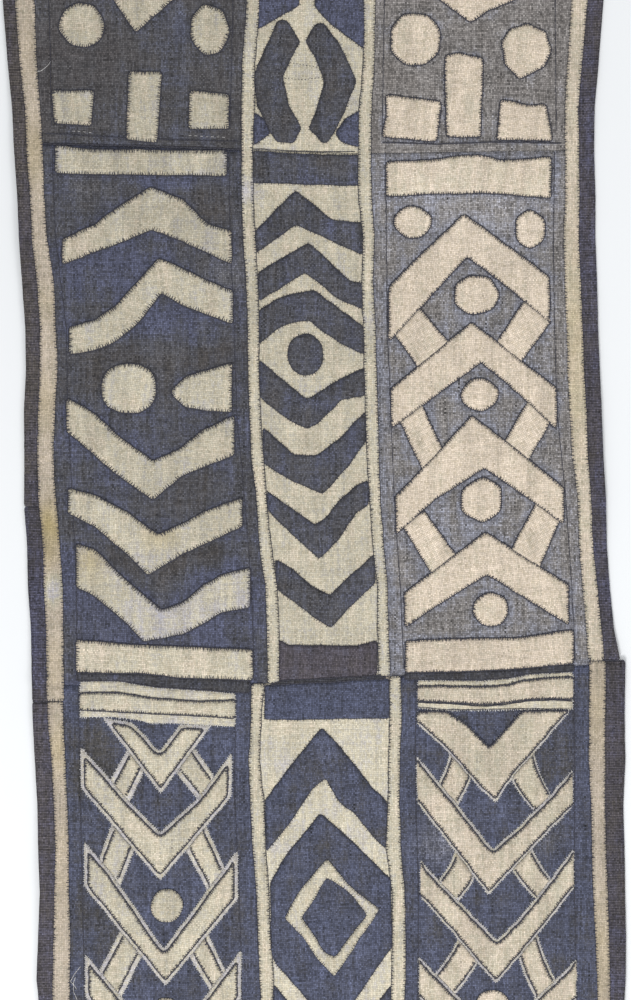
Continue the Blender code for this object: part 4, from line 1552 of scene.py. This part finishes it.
print(f"{len(tuck_loops)} tucks are rolled along the seam")

# %% [markdown]
# ## Sewing thread
#
# The sewing is what gives the cloth its character: thousands of short stitches of dark split palm leaf
# bite over every cut edge. Each stitch is a real strand here. A strand is a chain of points with a four
# sided ring round each, thinner at its ends where it dives into the cloth. All stitches of one kind in one
# panel are one mesh, and numpy works out all their rings at once, because so many separate objects would
# be slow to load and to move.

# %% Strands from chains of points
RING_TURNS = ((1, 0), (0, 1), (-1, 0), (0, -1))
FIBRE_FINE = 700.0
FIBRE_LINES_FINE = 2500.0
FIBRE_BUMP = 0.0001
FIBRES = {
    # name: record's slot, two colours, roughness
    "dark_fibre": ("slate_raffia", (0.024, 0.024, 0.036), (0.066, 0.063, 0.082), 0.62),
    "pale_fibre": ("natural_raffia", (0.60, 0.58, 0.56), (0.76, 0.74, 0.72), 0.66),
}


def make_fibre(name):
    """The material of a sewing fibre: two tones along the strands, with fine lines raised."""
    _, dark, light, roughness = FIBRES[name]
    material, tree, shader = new_material(name)
    place = put(tree, "ShaderNodeTexCoord").outputs["Object"]
    tones = cloudy(tree, place, FIBRE_FINE)
    share = reckon(tree, "MULTIPLY_ADD", tones, 2.4, -0.7, clamp=True)
    plug(tree, mixed_colour(tree, share, dark, light), shader.inputs["Base Color"])
    plug(tree, reckon(tree, "MULTIPLY_ADD", tones, 0.2, roughness - 0.1), shader.inputs["Roughness"])
    bump = put(tree, "ShaderNodeBump")
    bump.inputs["Distance"].default_value = FIBRE_BUMP
    plug(tree, cloudy(tree, place, FIBRE_LINES_FINE), bump.inputs["Height"])
    plug(tree, bump.outputs[0], shader.inputs["Normal"])
    return material


fibres = {name: make_fibre(name) for name in FIBRES}


def strand_mesh(chains, radii):
    """Points and faces of tubes round chains of points.

    chains holds one chain a row, as (x, y, height) in millimetres; radii holds a radius for each point.
    """
    along = np.gradient(chains, axis=1)
    along /= np.linalg.norm(along, axis=2, keepdims=True)
    side = np.cross(along, (0.0, 0.0, 1.0))
    side /= np.linalg.norm(side, axis=2, keepdims=True) + 1e-9
    up = np.cross(side, along)
    rings = [chains + radii[..., None] * (a * side + b * up) for a, b in RING_TURNS]
    points = np.stack(rings, axis=2)
    count, steps = chains.shape[:2]
    first = (np.arange(count * steps) * 4).reshape(count, steps)
    faces = []
    for a in range(4):
        b = (a + 1) % 4
        near, far = first[:, :-1].ravel(), first[:, 1:].ravel()
        faces.append(np.column_stack([near + a, near + b, far + b, far + a]))
    faces.append(first[:, :1] + np.array([3, 2, 1, 0]))
    faces.append(first[:, -1:] + np.array([0, 1, 2, 3]))
    return points.reshape(-1, 3), np.vstack(faces)


def sew(name, batches, fibre):
    """One object from batches of strands, each batch a pair of chains and radii."""
    points, faces = [], []
    first = 0
    for chains, radii in batches:
        if len(chains):
            some_points, some_faces = strand_mesh(chains, radii)
            points.append(some_points)
            faces.append(some_faces + first)
            first += len(some_points)
    points = np.vstack(points)
    mesh = bpy.data.meshes.new(name)
    mesh.from_pydata([to_frame(*point) for point in points], [], np.vstack(faces).tolist())
    mesh.shade_smooth()
    mesh.materials.append(fibres[fibre])
    piece = add_object(name, mesh)
    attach(piece, "root")


print("two fibres to sew with:", ", ".join(fibres))

# %% Overcast stitches and couched edge threads
GROUND_TOP = GROUND_UNDER + GROUND_THICK
PATCH_TOP = PATCH_UNDER + PATCH_THICK
# a stitch at its four points: its thickness, and how far each lies inside the edge
STITCH_SHAPE = np.array([0.9, 1.15, 0.85, 0.35])
STITCH_INSIDE = np.array([0.0, 0.35, 1.8, 3.3])
LENGTH_SHAPE = np.array([0.85, 1.0, 1.0, 0.85])
SLANT = 0.9
LENGTH_STEP = 1.8
CLEAR_BY = 1.8
END_ON = 0.97


def rows_along(loop, pitch, chosen):
    """Places along a loop about one pitch apart, with the directions inward at each."""
    fine = walk(loop, 0.8)
    count = int(length_of(fine) / pitch)
    at = (np.arange(count) + chosen.uniform(-0.3, 0.3, count)) / count * len(fine)
    index = at.astype(int) % len(fine)
    return fine[index], inward_of(fine)[index]


def kept_sides(places, inward, clear_of, sides_only):
    """Which places along an edge are sewn: not those against a neighbour, nor at flush ends."""
    kept = np.ones(len(places), bool)
    if clear_of:
        away, _ = nearest_on(places, clear_of)
        kept &= away > CLEAR_BY
    if sides_only:
        kept &= np.abs(inward[:, 0]) < END_ON
    return kept


def overcast(
    loop, seed, pitch=3.0, out=1.1, bite=3.4, thick=0.5, low=GROUND_TOP, high=PATCH_TOP, full=FULLNESS,
    clear_of=(), sides_only=False,
):
    """Short stitches over a cut edge: from the cloth just outside it to a bite inside it."""
    chosen = np.random.default_rng(seed)
    places, inward = rows_along(loop, pitch, chosen)
    kept = kept_sides(places, inward, clear_of, sides_only)
    places, inward = places[kept], inward[kept]
    count = len(places)
    along = np.column_stack([inward[:, 1], -inward[:, 0]])
    reach = (bite * chosen.uniform(0.4, 1.35, count))[:, None]
    lean = (SLANT * chosen.normal(0.0, 0.75, count))[:, None]
    begin = places - inward * (out * chosen.uniform(0.5, 1.4, count))[:, None] - along * lean * 0.5
    over = places + inward * STITCH_INSIDE[1]
    end = places + inward * reach + along * lean
    chain = np.stack([begin, over, (over + end) / 2, end], axis=1)
    x, y = chain[..., 0], chain[..., 1]
    rise = full * (1.0 - np.exp(-STITCH_INSIDE / FULLNESS_REACH))
    heights = np.array([low - 0.05, high + thick * 0.55, high + thick * 0.35, high - thick * 0.4]) + rise
    radii = thick * STITCH_SHAPE * chosen.uniform(0.6, 1.3, count)[:, None]
    return np.dstack([x, y, lie_of(x, y) + heights]), radii


def edge_thread(loop, seed, off=0.6, thick=0.55, high=GROUND_TOP + 0.35, clear_of=(), sides_only=False):
    """A thread laid along a cut edge, just outside it, as short overlapping lengths."""
    fine = walk(loop, LENGTH_STEP)
    inward = inward_of(fine)
    line = fine - inward * (off + 0.35 * (wander(*fine.T, 6.0, seed)[:, None] - 0.5))
    chain = np.stack([np.roll(line, -step, axis=0) for step in range(4)], axis=1)[::3]
    kept = kept_sides(chain[:, 1], np.roll(inward, -1, axis=0)[::3], clear_of, sides_only)
    return laid_thread(chain[kept], seed, thick, high)


def laid_thread(chain, seed, thick, high):
    """Short lengths of thread on the cloth, a little uneven in thickness."""
    x, y = chain[..., 0], chain[..., 1]
    chosen = np.random.default_rng(seed)
    radii = thick * chosen.uniform(0.8, 1.2, (len(chain), 1)) * LENGTH_SHAPE
    return np.dstack([x, y, lie_of(x, y) + high]), radii


def line_thread(points, seed, thick, high, dash=None):
    """A thread along an open line of chalk marks; with dash, only every other length shows."""
    marks = np.array(points, float)
    step = dash / 3 if dash else LENGTH_STEP
    line = places_on(marks, np.arange(0.0, lengths_to(marks)[-1], step))
    line = line + 0.8 * (np.column_stack([wander(*line.T, 7.0, seed), wander(*line.T, 9.0, seed + 1)]) - 0.5)
    count = len(line) - 3
    chain = np.stack([line[start:count + start] for start in range(4)], axis=1)[::6 if dash else 3]
    return laid_thread(chain, seed, thick, high)


def overcast_all(loops, first_seed, **how):
    """A batch of overcast stitches for each of some loops."""
    return [overcast(loop, seed, **how) for seed, loop in enumerate(loops, first_seed)]


def edge_threads(loops, first_seed, **how):
    """A batch of edge thread for each of some loops."""
    return [edge_thread(loop, seed, **how) for seed, loop in enumerate(loops, first_seed)]


test_chains, _ = overcast(patch_cuts["peak_left_1"][0], 1)
print(f"a chevron takes {len(test_chains)} overcast stitches")

# %% [markdown]
# ## Sewing down the upper length
#
# On the left panels the stitches bite three or four millimetres into the pale patches. On the grey panels
# a thicker dark thread also runs along each edge, so the patches look outlined. The dark patches of the
# centre column are sewn the other way about: their stitches reach a little out onto the pale ground.

# %% Sew the patches down
LEFT = [node for node in PATCHES if "_left" in node and "hook" not in node]
RIGHT = [node for node in PATCHES if "_right" in node and "hook" not in node]
CENTRE = [node for node in PATCHES if node not in LEFT + RIGHT and node != "diamond_ring"]

left_loops = [patch_cuts[node][0] for node in LEFT] + small_loops["left_top"]
right_loops = [patch_cuts[node][0] for node in RIGHT] + small_loops["right_top"] + small_loops["right_middle"]
centre_loops = [patch_cuts[node][0] for node in CENTRE] + small_loops["centre_top"]

sew("stitches_left", overcast_all(left_loops, 1000, pitch=2.7, out=1.4, bite=4.0, thick=0.46), "dark_fibre")
# the left edge thread is laid thick so that it also stands in for the soft shade beside those edges
sew("edge_thread_left", edge_threads(left_loops, 1100, off=0.7, thick=0.75), "dark_fibre")
right_stitches = overcast_all(right_loops, 1200, pitch=2.6, out=1.9, bite=2.4, thick=0.48)
right_stitches += overcast_all(
    bridge_loops, 1250, pitch=2.6, out=1.7, bite=2.2, thick=0.46, clear_of=PEAKS_RIGHT,
)
sew("stitches_right", right_stitches, "dark_fibre")
right_edges = edge_threads(right_loops, 1300, off=0.5, thick=0.8)
right_edges += edge_threads(bridge_loops, 1350, off=0.5, thick=0.75, clear_of=PEAKS_RIGHT)
sew("edge_thread_right", right_edges, "dark_fibre")
centre_stitches = overcast_all(centre_loops, 1400, pitch=3.4, out=2.0, bite=1.0, thick=0.34)
centre_stitches += edge_threads(centre_loops, 1450, off=0.3, thick=0.4)
centre_stitches += [
    overcast(loop, 1490, bite=2.2, thick=0.35, low=PATCH_TOP + 0.3, high=SECOND_UNDER + PATCH_THICK)
    for loop in patch_cuts["diamond_ring"]
]
sew("stitches_centre", centre_stitches, "dark_fibre")
print("the patches of the upper length and the centre are sewn")

# %% Sew the strips down
strip_loops = [patch_cuts[node][0] for node in STRIPS]
strip_stitches = overcast_all(strip_loops, 1500, pitch=3.6, out=1.0, bite=2.7, thick=0.44, full=0.3)
sew("stitches_strips", strip_stitches, "dark_fibre")
strip_edges = [
    edge_thread(patch_cuts[node][0], seed, off=0.4, thick=0.5)
    for seed, node in enumerate(STRIPS, 1520) if node.startswith("inner")
]
sew("edge_thread_strips", strip_edges, "dark_fibre")
print("the strips are sewn")

# %% [markdown]
# ## Sewing down the lower length
#
# Three rows of sewing show on a double patch: white thread where its first layer meets the blue ground, a
# dark thread couched along the second layer, and dark stitches that bite into the second layer from that
# thread. The straps are sewn along their long sides alone, because their ends are tucked against the V
# shapes.

# %% Sew the double patches
RIM_TOP = PATCH_UNDER + RIM_THICK
FACE_TOP = FACE_UNDER + FACE_THICK
rim_stitches, face_stitches, face_edges = [], [], []
for seed, name in enumerate(rim_loops, 1600):
    side = "left" if "left" in name else "right"
    valleys = [rim_loops[other] for other in rim_loops if "valley" in other and side in other]
    against = valleys if "strap" in name else ()
    flush = "bars" in name or (side == "right" and "valley" in name)
    how = {"clear_of": against, "sides_only": flush}
    rim_stitches.append(
        overcast(
            rim_loops[name], seed, pitch=2.6, out=1.3, bite=1.2, thick=0.38, high=RIM_TOP, full=0.1,
            clear_of=against,
        )
    )
    face_stitches.append(
        overcast(
            face_loops[name], seed + 60, pitch=2.5, out=1.6, bite=2.3, thick=0.50, low=FACE_UNDER,
            high=FACE_TOP, **how,
        )
    )
    face_edges.append(edge_thread(face_loops[name], seed + 120, thick=0.88, high=FACE_UNDER + 0.4, **how))
heavy_line = [(x, y - 2.3) for x, y in BARS["right"][2]]
face_edges.append(line_thread(heavy_line, 1790, 0.8, RIM_TOP + 0.3))
low_line = [(x, y + 0.9) for x, y in BARS["right"][3]]
face_edges.append(line_thread(low_line, 1791, 0.55, RIM_TOP + 0.1))
face_stitches.append(
    overcast(
        rim_loops["bars_low_right"], 1792, pitch=3.2, out=0.3, bite=2.0, thick=0.42, high=RIM_TOP, full=0.1,
        sides_only=True,
    )
)
face_stitches.append(
    overcast(
        face_loops["bars_low_right"], 1793, pitch=2.9, out=2.6, bite=0.6, thick=0.42, low=RIM_TOP,
        high=FACE_TOP, sides_only=True,
    )
)
sew("stitches_rims", rim_stitches, "pale_fibre")
sew("stitches_faces", face_stitches, "dark_fibre")
sew("edge_thread_faces", face_edges, "dark_fibre")
low_rounds = small_loops["left_low"] + small_loops["right_low"]
sew("stitches_low_rounds", overcast_all(low_rounds, 1800, bite=2.2, thick=0.4), "dark_fibre")
print("the double patches are sewn")

# %% [markdown]
# ## Seams, running stitches and loose ends
#
# Narrow strips of the same dark cloth are joined to both sides of each side panel, and their seams show
# as fine dark lines down the cloth. A few pale running stitches and loose ends of thread are left from
# the making.

# %% Sew the seams
FINE_SEAMS = (
    ((-306, 640), (-302, 540), (-300, 425)),
    ((-90, 640), (-92, 540), (-95, 425)),
    ((84, 640), (82, 540), (80, 420)),
    ((279, 640), (279, 540), (280, 420)),
    ((-299, 402), (-295, 300), (-283, 200), (-281, 100), (-276, 0), (-271, -100), (-271, -197)),
    ((-96, 400), (-95, 300), (-90, 200), (-87, 100), (-78, 0), (-70, -100), (-67, -200)),
    ((84, 400), (85, 300), (86, 200), (90, 100), (94, 0), (101, -100), (105, -195)),
    ((278, 400), (277, 300), (278, 200), (281, 100), (291, 0), (298, -100), (302, -185)),
    ((-269, -214), (-267, -330), (-264, -450), (-262, -580), (-262, -700)),
    ((-88, -226), (-90, -330), (-84, -450), (-81, -580), (-80, -700)),
    ((119, -206), (118, -330), (122, -450), (121, -580), (123, -700)),
    ((301, -197), (301, -330), (301, -450), (304, -580), (305, -700)),
)
CROSS_SEAMS = (
    # points, thickness
    (((-310, 409), (-200, 407), (-82, 403)), 0.9),
    (((-306, 421), (-200, 415), (-84, 412)), 0.5),
    (((80, 411), (142, 409), (215, 411), (288, 410)), 0.8),
    (((-70, 403.5), (0, 400), (54, 400)), 0.5),
    (((-321, -231.5), (-306, -231.5)), 0.7),
    (((320, -184.5), (359, -184.5)), 0.7),
    (((-329, -7.5), (-315, -7.5)), 0.6),
)
PRICKS = (
    ((-30, 503), (-12, 500), (12, 496)),
    ((-32, 485), (-10, 483), (16, 486)),
)
RUNNING_STITCHES = (
    ((-276, 424), (-252, 422)),
    ((-142, 419), (-100, 416.5)),
)
LOOSE_ENDS = (
    ((-318, 492), (-312, 493), (-307, 497), (-303, 501), (-300, 506)),
    ((-266.5, -536), (-272, -542), (-278, -553), (-273, -558), (-269, -565.5)),
    ((-272, -548), (-275, -556), (-274, -566), (-270, -574)),
)


def line_threads(lines, first_seed, thick, above, dash=None):
    """A batch of thread for each of some lines, so far above the ground cloth."""
    high = GROUND_TOP + above
    return [line_thread(points, seed, thick, high, dash) for seed, points in enumerate(lines, first_seed)]


seam_lines = line_threads(FINE_SEAMS, 1900, 0.5, 0.1)
for seed, (points, thick) in enumerate(CROSS_SEAMS, 1920):
    seam_lines.append(line_thread(points, seed, thick, GROUND_TOP + 0.35))
# the thick dark thread round the tucks also stands in for the shade of the fold
seam_lines += edge_threads(tuck_loops, 1935, off=0.2, thick=0.8, high=PATCH_TOP)
seam_lines += line_threads(PRICKS, 1937, 0.34, 0.1, dash=1.9)
sew("seam_threads", seam_lines, "dark_fibre")
pale_lines = line_threads(RUNNING_STITCHES, 1940, 0.24, 0.15, dash=3.2)
pale_lines += line_threads(LOOSE_ENDS, 1950, 0.3, 0.5)
sew("loose_threads", pale_lines, "pale_fibre")
print("the seams and loose ends are sewn")

# %% [markdown]
# ## Measure and finish
#
# The dressed cloth must keep the size of the solids. The triangles of every piece that is shown are counted,
# and the piece with the most of them is named.

# %% Measure and finish
shown = [thing for thing in bpy.data.objects if thing.type == "MESH" and thing.name != "floor"]
view = bpy.context.evaluated_depsgraph_get()
counts = {}
for thing in shown:
    mesh = thing.evaluated_get(view).data
    mesh.calc_loop_triangles()
    counts[thing.name] = len(mesh.loop_triangles)
most = max(counts, key=counts.get)
print(f"{sum(counts.values())} triangles in all, {counts[most]} of them in {most}")
